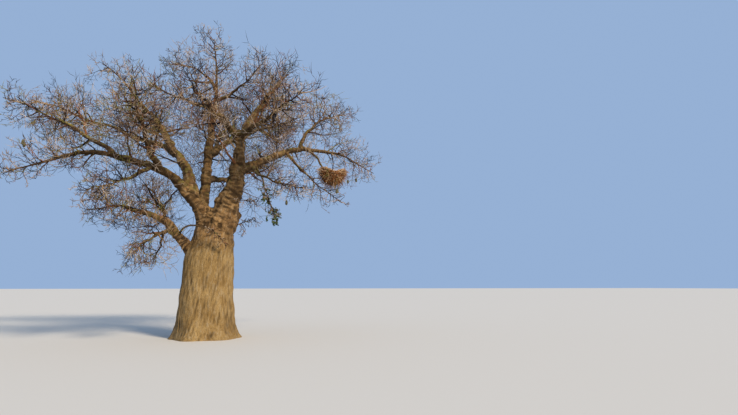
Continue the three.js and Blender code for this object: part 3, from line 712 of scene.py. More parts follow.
def barkRelief(places, wood, thick, onTrunk):
    folds = layered(wood, "folds")
    creases = smoothly(places[:, 2], *relief["creasesFrom"]) * layered(wood, "creases")
    stout = np.minimum(thick, relief["stoutest"])
    ridges = layered(wood, "ribs") + layered(wood, "wrinkles")
    knots = relief["knotHeight"] * np.maximum(0, layered(wood, "knots") - relief["knotsAbove"])
    trunkHeight = folds + layered(wood, "swell") + creases
    limbHeight = stout * (ridges + knots + layered(wood, "limbSwell"))
    fine = np.where(onTrunk, folds + creases, stout * ridges)
    # The second value returned is painted shade: from 0 to 1, darker the deeper a point lies in the fine
    # relief's creases, where shade falls.
    deepest = np.where(onTrunk, relief["trunkHollow"], relief["limbHollow"] * stout)
    return np.where(onTrunk, trunkHeight, limbHeight), np.clip(-fine / deepest, 0, 1)


def cutPiece(mesh, planes):  # what is left of the mesh on the inner side of each plane, closed again
    shape = bmesh.new()
    shape.from_mesh(mesh)
    for point, outward in planes:
        everything = list(shape.verts) + list(shape.edges) + list(shape.faces)
        made = bmesh.ops.bisect_plane(
            shape, geom=everything, plane_co=point, plane_no=outward, clear_outer=True)
        rim = [item for item in made["geom_cut"] if isinstance(item, bmesh.types.BMEdge)]
        filled = bmesh.ops.holes_fill(shape, edges=rim, sides=0)
        for face in filled["faces"]:
            face.smooth = False
            for edge in face.edges:
                edge.smooth = False
    return meshOf(shape, "bark")


def writeTones(mesh, places, wood, thick, onTrunk, paintedShade):  # what the bark's finish reads
    slope, height = readNormals(mesh)[:, 2], places[:, 2]
    # Painted shade: the limbs high in the tree are darker on their undersides, joined with the painted shade
    # of the creases.
    undersideShade = smoothly(-slope, *barkZones["undersideShade"]) * smoothly(height, *barkZones["undersideShadeHigh"])
    lichen = between(barkZones["lichenOnRight"], 1, smoothly(-places[:, 0], *barkZones["lichenLeft"]))
    lichen *= smoothly(height, *barkZones["lichenHigh"]) * smoothly(slope, *barkZones["lichenSlope"])
    writeAttribute(mesh, "wood", wood)
    writeAttribute(mesh, "paintedShade", np.maximum(paintedShade, undersideShade))
    writeAttribute(mesh, "trunkness", np.where(onTrunk, 1 - smoothly(height, *barkZones["smoothTrunk"]), 0))
    writeAttribute(mesh, "lichen", barkZones["lichen"] * lichen)
    writeAttribute(mesh, "thinness", 1 - smoothly(thick, *barkZones["thin"]))


def makeBark():
    grown, places, owners = grownTogether()
    wood, thick = woodPlaces(places, owners)
    places = evened(places, thick, edgesOf(grown))
    writePoints(grown, places)
    onTrunk = owners == 0
    height, paintedShade = barkRelief(places, wood, thick, onTrunk)
    places = places + readNormals(grown) * height[:, None]
    writePoints(grown, places)
    writeTones(grown, places, wood, thick, onTrunk, paintedShade)
    grown.shade_smooth()
    material = barkFinish()
    fork, middle = (0, 0, 5.0), (0.25, 0, 0)
    aboveFork = (fork, (0, 0, -1))
    cuts = {
        "trunkBark": ("trunk_bark", ["trunk"], [((0, 0, 0), (0, 0, -1)), (fork, (0, 0, 1))]),
        "leftBark": ("limb_bark", boughNames, [aboveFork, (middle, (1, 0, 0))]),
        "rightBark": ("limb_bark", boughNames, [aboveFork, (middle, (-1, 0, 0))]),
    }
    for name, (slot, replaced, planes) in cuts.items():
        addPiece(name, cutPiece(grown, planes), material, replaced)


makeBark()
print("bark grown")

# The nest's place, as in the solids
nest = {
    "length": 1.02, "depth": 0.66, "height": 0.68, "rise": 0.33, "topShare": 0.45, "turn": 15,
    "fromTip": (0.35, -0.05, -0.19), "keepOut": 0.42, "keepOutSpan": 0.28,
}
nestMiddle = curves["nest_bough"][-1] + np.array(nest["fromTip"])

# The rule that the twigs branch by. Its first twigs are the solids' own, and finer ones follow on.
rule = {
    "firstSpacing": 0.33, "fewestFirst": 5, "mostFirst": 8, "solidSeconds": 2, "stemSteps": 4,
    "stemGap": 0.0003,
    "stations": (0.1, 0.97), "opening": (38, 78), "shortest": 0.6, "tipShortening": 0.42, "bendJitter": 0.3,
    "thickness": 0.016, "thinnest": 0.009, "ofCarrier": 0.75, "tries": (1, 0.66, 0.42),
    "sampleEvery": 0.09, "clearance": 0.012, "lowest": 2.35,
    "firsts": 4.5,  # times as many as the solids hold
    "laterShortening": 0.4,  # how much the later ones shorten towards the stem's tip
    "laterDroop": 0.45,  # how much less than the solids' own some of them rise
    "reach": 0.9,  # how far from the stem a twig's tip may lie, as a share of the mass's spread
    "cell": 0.4,  # the room in which only so many twigs of an order are kept
    "crowding": (  # from and to this far right, from and to this height, and how many times as many there
        (-9, -0.4, 0, 5.6, 1.6), (1.5, 9, 0, 7.2, 0.45), (1.5, 4.6, 4, 7.2, 0.3), (1.6, 3.3, 4, 5.8, 0.9),
        (-4.8, 0.8, 8.2, 10.6, 0.6), (-4.8, -1.6, 8.2, 10.6, 0.32),
    ),
}
massNames = [name for name in limbs if limbs[name]["bare"] < 1]


def boughLevels(name):  # the solid bough's rings, which twigs keep clear of
    limb = limbs[name]
    parts = limb["bare"] * (np.arange(limbShape["levels"] + 1) / limbShape["levels"]) ** limbShape["footward"]
    radii = limbRadius(limb, parts)
    if limb["carrier"] == "trunk":
        radii[0] *= limbShape["buriedFoot"]
    if limb["bare"] == 1:
        radii[-1] *= limbShape["roundedEnd"]
    return pointsOn(curves[name], parts), radii


def findObstacles():
    outline = np.array(trunk["outline"])
    levels = {"trunk": (np.stack([outline[:, 2], 0 * outline[:, 0], outline[:, 0]], axis=1), outline[:, 1])}
    levels.update({name: boughLevels(name) for name in boughNames})
    reach = direction(nest["turn"], 0) * nest["length"] * nest["keepOutSpan"]
    ends = np.array([nestMiddle - reach, nestMiddle + reach])
    levels["nest"] = (ends, np.full(2, nest["keepOut"]))
    rows = []
    for name, (points, radii) in levels.items():
        for before, after, thickBefore, thickAfter in zip(points, points[1:], radii, radii[1:]):
            rows.append((name, before, after, thickBefore, thickAfter))
    names, starts, ends, startRadii, endRadii = zip(*rows)
    return np.array(names), np.array(starts), np.array(ends), np.array(startRadii), np.array(endRadii)


obstacles = findObstacles()


def clearOfLimbs(points, radii, leftOut=None):
    names, starts, ends, startRadii, endRadii = obstacles
    distance, part = distances(points, starts, ends)
    limbHere = startRadii + (endRadii - startRadii) * part
    clear = distance > limbHere + radii[:, None] + rule["clearance"]
    if leftOut:
        clear |= names == leftOut
    return clear.all(1)


def massStem(name):
    limb, curve = limbs[name], curves[name]
    parts = limb["bare"] + (1 - limb["bare"]) * np.arange(rule["stemSteps"] + 1) / rule["stemSteps"]
    stem = pointsOn(curve, parts)
    stem[0] += waysOn(curve, [limb["bare"]])[0] * rule["stemGap"]
    return stem


stems = {name: massStem(name) for name in massNames}


def inOwnSpace(points, radii, name):
    own = distances(points, stems[name][:-1], stems[name][1:])[0].min(1) + 2 * radii + rule["clearance"]
    starts = np.vstack([stems[other][:-1] for other in massNames if other != name])
    ends = np.vstack([stems[other][1:] for other in massNames if other != name])
    return distances(points, starts, ends)[0].min(1) > own


def twigPlaces(plan, length, parts):  # the bent lines of twigs at these parts of their lengths
    seed, along = plan["seed"], plan["along"]
    opening = np.radians(plan["opening"])[:, None]
    turn = np.radians(plan["turn"])[:, None]
    side = np.cross(along, (0, 0, 1.0))
    upright = np.linalg.norm(side, axis=1) < 0.2
    side[upright] = np.array([1.0, 0, 0]) - along[upright] * along[upright, :1]
    side = unit(side)
    over = np.cross(side, along)
    outwards = along * np.cos(opening) + (side * np.cos(turn) + over * np.sin(turn)) * np.sin(opening)
    bend = 2 * rule["bendJitter"] * scattered(seed, 0.1, 0.2, 0.3)
    bend[:, 2] += plan["lift"]
    gone = np.asarray(parts)[None, :, None]
    run = length[:, None, None]
    return plan["roots"][:, None] + outwards[:, None] * run * gone + bend[:, None] * run * gone ** 2


def keepsClear(lines, radii, name, own):
    chord = np.linalg.norm(lines[:, -1] - lines[:, 0], axis=1)
    samples = np.ceil(chord / rule["sampleEvery"]).astype(int) + 1
    index = np.arange(samples.max() + 1)[None, :]
    parts = np.minimum(index / samples[:, None], 1)
    repeated = np.repeat(lines, parts.shape[1], axis=0)
    points = pointsOn(repeated, parts.ravel())
    thick = np.repeat(radii, parts.shape[1])
    clear = (points[:, 2] > rule["lowest"])
    clear &= clearOfLimbs(points, thick, own)
    if own is None:
        clear &= inOwnSpace(points, thick, name)
    return clear.reshape(parts.shape).all(1)


# How the twigs of each order are drawn and how thin they may get, where on their carriers they start and how
# long they are beside them, how many each carrier has, and at most how many of them share a room
orders = {
    "first": dict(points=9, sides=6, steps=2, thinnest=0.008, stouter=1.8, kink=0.035),
    "second": dict(
        points=6, sides=4, steps=1, thinnest=0.0065, stouter=1.3, kink=0.04, stations=(0.3, 0.97),
        shares=(0.36, 0.6), opening=rule["opening"], count=7, most=4),
    "third": dict(
        points=4, sides=3, steps=1, thinnest=0.0055, stouter=1, kink=0.05, stations=(0.15, 0.98),
        shares=(0.45, 0.9), opening=(30, 68), count=5, most=3),
    "fourth": dict(
        points=3, sides=3, thinnest=0.0066, stouter=1, kink=0.06, stations=(0.25, 1.0), shares=(0.5, 1.0),
        opening=(26, 62), count=3, most=4),
}
beyondBox = 0.05  # how far a twig's tip may stand out of the solids' box
roomLow = np.array(cadBox[0]) - beyondBox
roomHigh = np.array(cadBox[1]) + beyondBox


def inBox(lines):
    return ((lines[:, -1] > roomLow) & (lines[:, -1] < roomHigh)).all(1)


def pick(twigs, chosen):
    return {key: value[chosen] for key, value in twigs.items()}


def growTwigs(plan, order, name, own=None):  # the longest of a few tries at each twig that has room
    count = len(plan["seed"])
    length, radius, grown = np.zeros(count), np.zeros(count), np.zeros(count, bool)
    checked = np.linspace(0, 1, orders[order]["steps"] + 1)
    left = np.arange(count)
    for share in rule["tries"]:
        if not len(left):
            break
        tried = pick(plan, left)
        wanted = tried["length"] * share
        thick = np.minimum(np.maximum(rule["thinnest"], wanted * rule["thickness"]), tried["thickest"])
        lines = twigPlaces(tried, wanted, checked)
        fits = keepsClear(lines, thick, name, own) & inBox(lines)
        length[left[fits]], radius[left[fits]], grown[left[fits]] = wanted[fits], thick[fits], True
        left = left[~fits]
    kept = pick(plan, grown)
    kept["length"], kept["radius"] = length[grown], radius[grown]
    parts = np.linspace(0, 1, orders[order]["points"])
    lines = twigPlaces(kept, kept["length"], parts)
    kept["line"] = kinked(lines, kept, parts, orders[order]["kink"])
    return kept


def kinked(lines, twigs, parts, amount):  # small kinks between a twig's two ends
    away = np.sin(np.pi * parts)[None, :, None] * twigs["length"][:, None, None] * amount
    seeds = twigs["seed"][:, None, None] + np.arange(len(parts))[None, :, None] * 0.71
    return lines + away * 2 * (chance(seeds + np.array([0.11, 0.37, 0.59])) - 0.5)


def children(carriers, shape, lift):  # plans for the twigs on each carrier
    index = np.tile(np.arange(shape["count"]), len(carriers["seed"]))
    each = {key: np.repeat(value, shape["count"], axis=0) for key, value in carriers.items()}
    seed = each["seed"] * 1.7 + 5 * index
    part = between(*shape["stations"], fraction((index + 1) * goldenStep + chance(seed)))
    return {
        "seed": seed, "lift": np.full(len(seed), float(lift)), "spray": each["spray"],
        "opening": between(*shape["opening"], chance(seed)),
        "turn": index * goldenTurn + 360 * chance(each["seed"] + 0.8),
        "length": each["length"] * between(*shape["shares"], chance(seed + 0.6)),
        "roots": pointsOn(each["line"], part), "along": waysOn(each["line"], part),
        "thickest": each["radius"] * (1 - part) * rule["ofCarrier"], "index": index,
        "solid": each["solid"] & (index < rule["solidSeconds"]),
    }


def withinReach(twigs, grown, order):
    if grown["own"] is not None:
        return twigs
    stem = stems[grown["name"]]
    away = distances(twigs["line"][:, -1], stem[:-1], stem[1:])[0].min(1)
    kept = away < rule["reach"] * limbs[grown["name"]]["spread"]
    if order == "second":
        kept |= twigs["index"] < rule["solidSeconds"]
    return pick(twigs, kept)


def growOrder(grown, carrier, order):
    shape = orders[order]
    plan = children(grown[carrier], shape, grown["lift"])
    if order == "fourth":
        parts = np.linspace(0, 1, shape["points"])
        plan["radius"] = np.full(len(plan["seed"]), shape["thinnest"])
        plan["line"] = kinked(twigPlaces(plan, plan["length"], parts), plan, parts, shape["kink"])
        return withinReach(pick(plan, inBox(plan["line"])), grown, order)
    twigs = growTwigs(plan, order, grown["name"], grown["own"])
    if order == "second":
        twigs["spray"] = twigs["seed"]
    return withinReach(twigs, grown, order)


def firstPlan(own, order, line, part, limb, limbPart):
    return {
        "seed": own, "spray": own, "index": order, "opening": between(*rule["opening"], chance(own)),
        "roots": pointsOn(line, part), "along": waysOn(line, part),
        "thickest": limbRadius(limb, limbPart) * rule["ofCarrier"],
    }


def massFirsts(name, index):
    limb = limbs[name]
    seed = 100.0 * (index + 1)
    run = limb["length"] * (1 - limb["bare"])
    solidCount = np.floor(run / rule["firstSpacing"] + 0.5)
    solidCount = int(np.clip(solidCount, rule["fewestFirst"], rule["mostFirst"]))
    order = np.arange(round(solidCount * rule["firsts"]))
    own = seed + 3 * order
    part = between(*rule["stations"], fraction((order + 1) * goldenStep))
    share = between(rule["shortest"], 1, chance(own + 0.6))
    later = order >= solidCount
    share *= np.where(later, 1 - rule["laterShortening"] * part, 1)
    plan = firstPlan(own, order, stems[name], part, limb, between(limb["bare"], 1, part))
    plan["lift"] = limb["lift"] - rule["laterDroop"] * later * chance(own + 0.4)
    plan["turn"] = order * goldenTurn + 360 * (chance(seed) + later * chance(own + 0.7))
    plan["length"] = limb["spread"] * share * (1 - rule["tipShortening"] * part)
    plan["solid"] = ~later  # which twigs the solids hold too
    return {"first": growTwigs(plan, "first", name), "name": name, "own": None, "lift": limb["lift"]}


# Branches on the boughs themselves, inside the crown: shorter and thinner towards the bough's end
inner = {
    "every": 0.32, "everyLowLeft": 0.16, "from": 0.3, "fromOnStems": 0.55,
    "length": (0.9, 2.4), "shortening": 0.35, "lift": 0.2,
    "bareBoughs": ("leafy_bough", "crossing_bough", "nest_bough"),
}


def innerFirsts(name, index):
    limb = limbs[name]
    start = inner["fromOnStems" if limb["carrier"] == "trunk" else "from"] * limb["bare"]
    end = limb["bare"]
    every = inner["everyLowLeft" if name.startswith("low_left") else "every"]
    count = max(2, round((end - start) * limb["length"] / every))
    order = np.arange(count)
    own = 5000.0 + 90 * index + 3 * order
    part = between(start, end, fraction((order + 1) * goldenStep))
    wanted = between(*inner["length"], chance(own + 0.6)) * (1 - inner["shortening"] * part / end)
    plan = firstPlan(own, order, curves[name], part, limb, part)
    plan["lift"] = np.full(count, inner["lift"])
    plan["turn"] = order * goldenTurn + 360 * chance(own)
    plan["length"] = limbRadius(limb, part) + wanted
    plan["solid"] = np.zeros(count, bool)
    return {"first": growTwigs(plan, "first", name, name), "name": name, "own": name, "lift": inner["lift"]}


def rankInRooms(points, luck, cell):  # each point's turn among those that share its room
    room = np.unique(np.floor(points / cell).astype(int), axis=0, return_inverse=True)[1].ravel()
    row = np.lexsort((luck, room))
    rank = np.empty(len(row), int)
    rank[row] = np.arange(len(row)) - np.searchsorted(room[row], room[row])
    return rank


def crowdingAt(points):
    share = np.ones(len(points))
    for left, right, bottom, top, times in rule["crowding"]:
        across = (points[:, 0] > left) & (points[:, 0] < right)
        share[across & (points[:, 2] > bottom) & (points[:, 2] < top)] = times
    return share


def thinOut(crown, order):  # where too many twigs share a room, only some of them are kept
    middles = np.concatenate([grown[order]["line"].mean(1) for grown in crown.values()])
    luck = np.concatenate([chance(grown[order]["seed"] * 0.13) for grown in crown.values()])
    if order == "second":
        luck -= np.concatenate([grown[order]["index"] < rule["solidSeconds"] for grown in crown.values()])
    kept = rankInRooms(middles, luck, rule["cell"]) < orders[order]["most"] * crowdingAt(middles)
    for grown in crown.values():
        here, kept = kept[:len(grown[order]["seed"])], kept[len(grown[order]["seed"]):]
        grown[order] = pick(grown[order], here)


def growCrown():
    crown = {name: massFirsts(name, index) for index, name in enumerate(massNames)}
    for index, name in enumerate(boughNames):
        if name not in inner["bareBoughs"]:
            crown[name + " inner"] = innerFirsts(name, index)
    names = list(orders)
    for carrier, order in zip(names, names[1:]):
        for grown in crown.values():
            grown[order] = growOrder(grown, carrier, order)
            if order == "second":
                grown["solidSeconds"] = pick(grown[order], grown[order]["solid"])
        before = sum(len(grown[order]["seed"]) for grown in crown.values())
        thinOut(crown, order)
        after = sum(len(grown[order]["seed"]) for grown in crown.values())
        print(f"{order} twigs: {after} of {before}")
    return crown


crown = growCrown()


# Many tubes as one mesh

def tubes(lines, radii, sides):  # vertices, corner indices and face sizes of closed tubes that end in a point
    count, points = lines.shape[:2]
    ways = unit(np.gradient(lines, axis=1))
    chord = unit(lines[:, -1] - lines[:, 0])
    across = np.cross(chord, np.where(np.abs(chord[:, 2:]) > 0.8, [[1.0, 0, 0]], [[0, 0, 1.0]]))
    across = unit(across[:, None] - ways * (across[:, None] * ways).sum(2, keepdims=True))
    over = np.cross(ways, across)
    angles = 2 * np.pi * np.arange(sides) / sides
    around = across[:, :, None] * np.cos(angles)[:, None] + over[:, :, None] * np.sin(angles)[:, None]
    rings = lines[:, :, None] + around * radii[:, :, None, None]
    body = rings[:, :-1].reshape(count, -1, 3)
    places = np.concatenate([body, lines[:, -1:]], axis=1)
    perTwig = places.shape[1]
    corner = np.arange(sides)
    following = (corner + 1) % sides
    pattern, sizes = [corner[::-1]], [sides]
    for ring in range(points - 2):
        low, high = ring * sides, (ring + 1) * sides
        quads = np.stack([low + corner, low + following, high + following, high + corner], axis=1)
        pattern.append(quads.ravel())
        sizes += [4] * sides
    last = (points - 2) * sides
    tips = np.stack([last + corner, last + following, np.full(sides, perTwig - 1)], axis=1)
    pattern.append(tips.ravel())
    sizes += [3] * sides
    pattern = np.concatenate(pattern)
    corners = (np.arange(count)[:, None] * perTwig + pattern[None]).ravel()
    return places.reshape(-1, 3), corners, np.tile(sizes, count)


def joinedMesh(name, parts):
    offset, places, corners, sizes = 0, [], [], []
    for somePlaces, someCorners, someSizes in parts:
        places.append(somePlaces)
        corners.append(someCorners + offset)
        sizes.append(someSizes)
        offset += len(somePlaces)
    places, corners, sizes = np.concatenate(places), np.concatenate(corners), np.concatenate(sizes)
    mesh = bpy.data.meshes.new(name)
    mesh.vertices.add(len(places))
    mesh.vertices.foreach_set("co", places.astype(np.float32).ravel())
    mesh.loops.add(len(corners))
    mesh.loops.foreach_set("vertex_index", corners.astype(np.int32))
    mesh.polygons.add(len(sizes))
    mesh.polygons.foreach_set("loop_start", (np.cumsum(sizes) - sizes).astype(np.int32))
    mesh.update(calc_edges=True)
    mesh.validate()
    mesh.shade_smooth()
    return mesh


def twigTubes(twigs, order):
    shape = orders[order]
    gone = np.linspace(0, 1, shape["points"])
    radii = shape["stouter"] * twigs["radius"][:, None] * (1 - gone)[None]
    return tubes(twigs["line"], np.maximum(radii, shape["thinnest"]), shape["sides"])


# Twigs are dealt out to plain tones by spray, and the stouter first twigs have the darker ones.
# The left half has more of the lichen's tones.
# The pale ash tones are painted sunlight and the near-black dark tones painted shade, dealt out by spray and
# not by where the light falls.
twigTones = {
    # painted sunlight on the twigs
    "ashTwigs": dict(pale=tone(204, 184, 164), deep=tone(154, 134, 116), right=0.14, left=0.1, first=0),
    "sandTwigs": dict(pale=tone(182, 152, 116), deep=tone(130, 104, 76), right=0.16, left=0.15, first=0.1),
    "tanTwigs": dict(pale=tone(142, 114, 82), deep=tone(94, 74, 52), right=0.13, left=0.13, first=0.15),
    "rustTwigs": dict(pale=tone(138, 90, 58), deep=tone(86, 56, 38), right=0.13, left=0.12, first=0.1),
    "umberTwigs": dict(pale=tone(78, 58, 44), deep=tone(48, 36, 28), right=0.17, left=0.15, first=0.3),
    "oliveTwigs": dict(pale=tone(146, 136, 72), deep=tone(94, 88, 46), right=0.06, left=0.14, first=0.05),
    # painted shade on the twigs
    "darkTwigsPaintedShade": dict(pale=tone(42, 32, 27), deep=tone(26, 20, 18), right=0.21, left=0.21, first=0.3),
}


def chosenSprays(grown, kind, index):  # which of these twigs have the tone with this index
    edges = np.cumsum([0] + [tones[kind] for tones in twigTones.values()])
    dealt = chance(grown["spray"] * 0.37 + 0.5)
    return (dealt >= edges[index]) & (dealt < edges[index + 1])


def massNodes(names):  # the solids of these limbs' masses
    return [name.replace("_bough", "") + "_twigs" * (limbs[name]["bare"] > 0) for name in names]


def makeTwigs():
    for index, (name, tones) in enumerate(twigTones.items()):
        parts = []
        for limbName, grown in crown.items():
            side = "left" if curves[limbName.split()[0]][-1, 0] < -1 else "right"
            for order in orders:
                chosen = chosenSprays(grown[order], "first" if order == "first" else side, index)
                if chosen.any():
                    parts.append(twigTubes(pick(grown[order], chosen), order))
        material = twigFinish(name, tones["pale"], tones["deep"])
        addPiece(name, joinedMesh(name, parts), material, massNodes(massNames))


makeTwigs()
print("twigs grown")

# The boughs' thin ends, which carry the twigs on from the bark
boughEnds = {
    "stationEvery": 0.06, "sides": 12, "lap": 0.16, "narrow": 0.8, "wobble": 0.06,
    "thinning": 0.28, "thinningRun": 0.12,  # how much thinner than the solids they become, and how soon
    "tones": (tone(92, 72, 54), tone(54, 41, 31)),
}


def makeBoughEnds():
    parts = []
    for index, name in enumerate(massNames):
        limb, curve = limbs[name], curves[name]
        lap = boughEnds["lap"] / limb["length"]
        start = max(0.0, barkEnd(limb) - lap) if limb["bare"] > 0 else 0.0
        count = max(8, round((1 - start) * limb["length"] / boughEnds["stationEvery"]))
        along = np.linspace(start, 1, count)
        radii = limbRadius(limb, along)
        radii *= between(boughEnds["narrow"], 1, smoothly(along, start, start + lap))
        radii *= 1 - boughEnds["thinning"] * smoothly(along, start, start + boughEnds["thinningRun"])
        points = pointsOn(curve, along)
        radii *= 1 + boughEnds["wobble"] * waves(points, 0.3, index + 50)
        parts.append(tubes(points[None], radii[None], boughEnds["sides"]))
    mesh = joinedMesh("boughEnds", parts)
    material = twigFinish("thin bark", *boughEnds["tones"])
    replaced = massNodes(name for name in massNames if name in boughNames)
    addPiece("boughEnds", mesh, material, replaced)


makeBoughEnds()
print("bough ends grown")


# The nest: a core coloured dark as painted shade between the sticks, wrapped in sticks, some of which stand
# out of it

nestLook = {
    "coreShare": 0.92, "coreDetail": 5, "coreUneven": 0.05, "bluntness": 3.6, "endSag": 0.5,
    "bottomRise": 0.25, "bottomNarrow": 0.24, "wrapped": 1500, "ragged": 900, "points": 5, "sides": 3,
    "length": (0.2, 0.55), "raggedLength": (0.12, 0.34), "raggedBelow": 0.6, "radius": (0.005, 0.0095),
    "proud": (-0.08, 0.09), "flare": 0.24, "taper": 0.6,
    "raggedJitter": 0.8, "raggedDroop": 0.35, "raggedSag": 0.25,
    "paler": (0.165, 0.55), "palerHeights": (-0.1, 0.25),  # the straws' share at the bottom and at the top
    # The core's dark tones are painted shade, standing for the shade deep among the woven sticks.
    "coreShadeTones": (tone(98, 62, 36), tone(54, 36, 24)),
    "tones": {
        "nestSticks": (tone(160, 106, 62), tone(92, 60, 36)),
        "nestStraws": (tone(214, 188, 152), tone(168, 134, 98)),
    },
}


def nestPlaces(skin):  # from places on a ball of radius 1 to the nest's own form, with blunter ends
    blunt, ways = nestLook["bluntness"], unit(skin)
    flat = np.hypot(ways[..., 0], ways[..., 1])
    skin = skin / ((flat ** blunt + np.abs(ways[..., 2]) ** blunt) ** (1 / blunt))[..., None]
    lifted = np.where(skin[..., 2] > 0, skin[..., 2] * nest["topShare"], skin[..., 2])
    lifted *= nest["height"] / 2
    narrow = 1 - nestLook["bottomNarrow"] * smoothly(-skin[..., 2], 0, 1)
    across = narrow * skin[..., 0] * nest["length"] / 2
    deep = narrow * skin[..., 1] * nest["depth"] / 2
    turned = math.radians(nest["turn"])
    along = across * math.cos(turned) - deep * math.sin(turned)
    away = across * math.sin(turned) + deep * math.cos(turned)
    raised = nest["rise"] * skin[..., 0] ** 2 * (1 - nestLook["endSag"] * skin[..., 0] ** 2)
    raised *= between(nestLook["bottomRise"], 1, smoothly(skin[..., 2], -0.8, 0.2))
    return np.stack([along, away, lifted + raised], axis=-1) + nestMiddle


def makeNestCore():
    shape = bmesh.new()
    bmesh.ops.create_icosphere(shape, subdivisions=nestLook["coreDetail"], radius=1)
    for vert in shape.verts:
        skin = np.array(vert.co)
        uneven = 1 + nestLook["coreUneven"] * waves(skin[None], 0.35, 71)[0]
        vert.co = nestPlaces(skin * nestLook["coreShare"] * uneven)
    bmesh.ops.recalc_face_normals(shape, faces=shape.faces)
    mesh = meshOf(shape, "nestShadeCore")
    mesh.shade_smooth()
    material = twigFinish("nest shade core", *nestLook["coreShadeTones"])
    addPiece("nestShadeCore", mesh, material, ["stick_nest"])


def ballPlaces(order):  # evenly spread over a ball of radius 1
    return direction(order * goldenTurn, np.degrees(np.arcsin(2 * (order + 0.5) / len(order) - 1)))


def wrappedSticks(order):
    skin = ballPlaces(order)
    seed = 900 + 1.31 * order
    way = direction(360 * chance(seed), 90 * (chance(seed + 0.2) - 0.5))
    way = unit(way - skin * (way * skin).sum(1, keepdims=True))
    length = between(*nestLook["length"], chance(seed + 0.4))
    run = np.linspace(-1, 1, nestLook["points"])[None, :, None]
    reach = length[:, None, None] / nest["length"] * run
    path = unit(skin[:, None] + way[:, None] * reach)
    proud = between(*nestLook["proud"], chance(seed + 0.6))[:, None, None]
    flare = nestLook["flare"] * chance(seed + 0.8)[:, None, None] * np.abs(run) ** 3
    return nestPlaces(path * (1 + proud + flare))


def raggedSticks(order):
    skin = ballPlaces(order)
    below = skin[:, 2] < nestLook["raggedBelow"]
    order, skin = order[below], skin[below]
    seed = 2900 + 1.17 * order
    root = nestPlaces(skin * nestLook["coreShare"])
    way = unit(nestPlaces(skin) - root)
    way += nestLook["raggedJitter"] * scattered(seed, 0, 0.2, 0.4)
    way[:, 2] -= nestLook["raggedDroop"]
    length = between(*nestLook["raggedLength"], chance(seed + 0.6))[:, None, None]
    run = np.linspace(0, 1, nestLook["points"])[None, :, None]
    sag = np.array([0, 0, -nestLook["raggedSag"]]) * length * run ** 2
    return root[:, None] + unit(way)[:, None] * length * run + sag


def makeNest():
    makeNestCore()
    lines = np.concatenate([
        wrappedSticks(np.arange(nestLook["wrapped"])), raggedSticks(np.arange(nestLook["ragged"]))])
    seed = 0.77 * np.arange(len(lines))
    thick = between(*nestLook["radius"], chance(seed))[:, None]
    radii = thick * (1 - nestLook["taper"] * np.linspace(0, 1, nestLook["points"])[None])
    upper = smoothly(lines[:, :, 2].mean(1) - nestMiddle[2], *nestLook["palerHeights"])
    paler = chance(seed + 0.5) < between(*nestLook["paler"], upper)
    for name, chosen in zip(nestLook["tones"], (~paler, paler)):
        mesh = joinedMesh(name, [tubes(lines[chosen], radii[chosen], nestLook["sides"])])
        material = twigFinish(name, *nestLook["tones"][name])
        addPiece(name, mesh, material, ["stick_nest"])


makeNest()
print("nest woven")


# The seed pods, which hang from the same twigs as in the solids

pod = {
    "length": 0.19, "width": 0.095, "stalk": 0.13, "stalkRadius": 0.004, "at": 0.85,
    "round": 20, "rings": 14, "fullness": -0.18, "uneven": 0.025,
    "stalkSunk": 0.06, "stalkRings": 5, "stalkSides": 8, "sheen": 0.35,
    "tones": (tone(96, 92, 64), tone(64, 54, 38)),
}


def podRoots(name):
    seconds = crown[name]["solidSeconds"]
    if not len(seconds["seed"]):
        return []
    start, end = seconds["line"][:, 0], seconds["line"][:, -1]
    chord = start + (end - start) * pod["at"]
    bottom = chord - np.array([0, 0, pod["stalk"] + pod["length"]])
    fits = keepsClear(np.stack([chord, bottom], axis=1), np.full(len(chord), pod["width"] / 2), name, None)
    roots = pointsOn(seconds["line"], np.full(len(chord), pod["at"]))
    return roots[fits][:limbs[name].get("pods", 0)]


def addPod(shape, root):
    top = root - np.array([0, 0, pod["stalk"]])
    middle = top - np.array([0, 0, pod["length"] / 2])
    made = bmesh.ops.create_uvsphere(shape, u_segments=pod["round"], v_segments=pod["rings"], radius=1)
    for vert in made["verts"]:
        uneven = 1 + pod["uneven"] * waves(np.array(vert.co)[None], 1.2, 81 + root[0])[0]
        wide = pod["width"] / 2 * (1 + pod["fullness"] * vert.co.z) * uneven
        vert.co = (
            middle[0] + vert.co.x * wide, middle[1] + vert.co.y * wide,
            middle[2] + vert.co.z * pod["length"] / 2)
    rings = []
    for height in np.linspace(root[2], top[2] - pod["length"] * pod["stalkSunk"], pod["stalkRings"]):
        centre = (root[0], root[1], height)
        rings.append(addRing(shape, centre, (1, 0, 0), (0, 1, 0), pod["stalkRadius"], pod["stalkSides"]))
    closeRings(shape, rings)


def makePods():
    shape = bmesh.new()
    hung = [name for name in massNames if limbs[name].get("pods")]
    for name in hung:
        for root in podRoots(name):
            addPod(shape, root)
    mesh = meshOf(shape, "seedPods")
    mesh.shade_smooth()
    finish = Finish("velvet pod", 0.95)
    place = finish.place()
    worn = finish.ranged(finish.noise(place, 22.0, 4.0), 0.4, 0.62)
    finish.colour(finish.mixed(worn, *pod["tones"]))
    finish.bump(finish.noise(place, 320.0, 2.0), 0.4, 0.002)
    finish.shader.inputs["Sheen Weight"].default_value = pod["sheen"]
    addPiece("seedPods", mesh, finish.material, massNodes(hung))


makePods()
print("pods hung")


# The one spray that still has leaves, each of five leaflets

leaf = {
    "room": 0.12, "inRoom": 3, "along": (0.45, 0.75, 1.0), "length": (0.05, 0.09), "width": 0.42,
    "thick": 0.012, "widest": 0.58,
    "fan": (-72, -37, 0, 37, 72), "sideShare": 0.7, "droop": 0.7, "deeperShare": 0.6,
    "tones": {
        "leavesDeep": (tone(72, 86, 52), tone(44, 58, 36)),
        "leavesPale": (tone(118, 134, 84), tone(80, 98, 58)),
    },
}


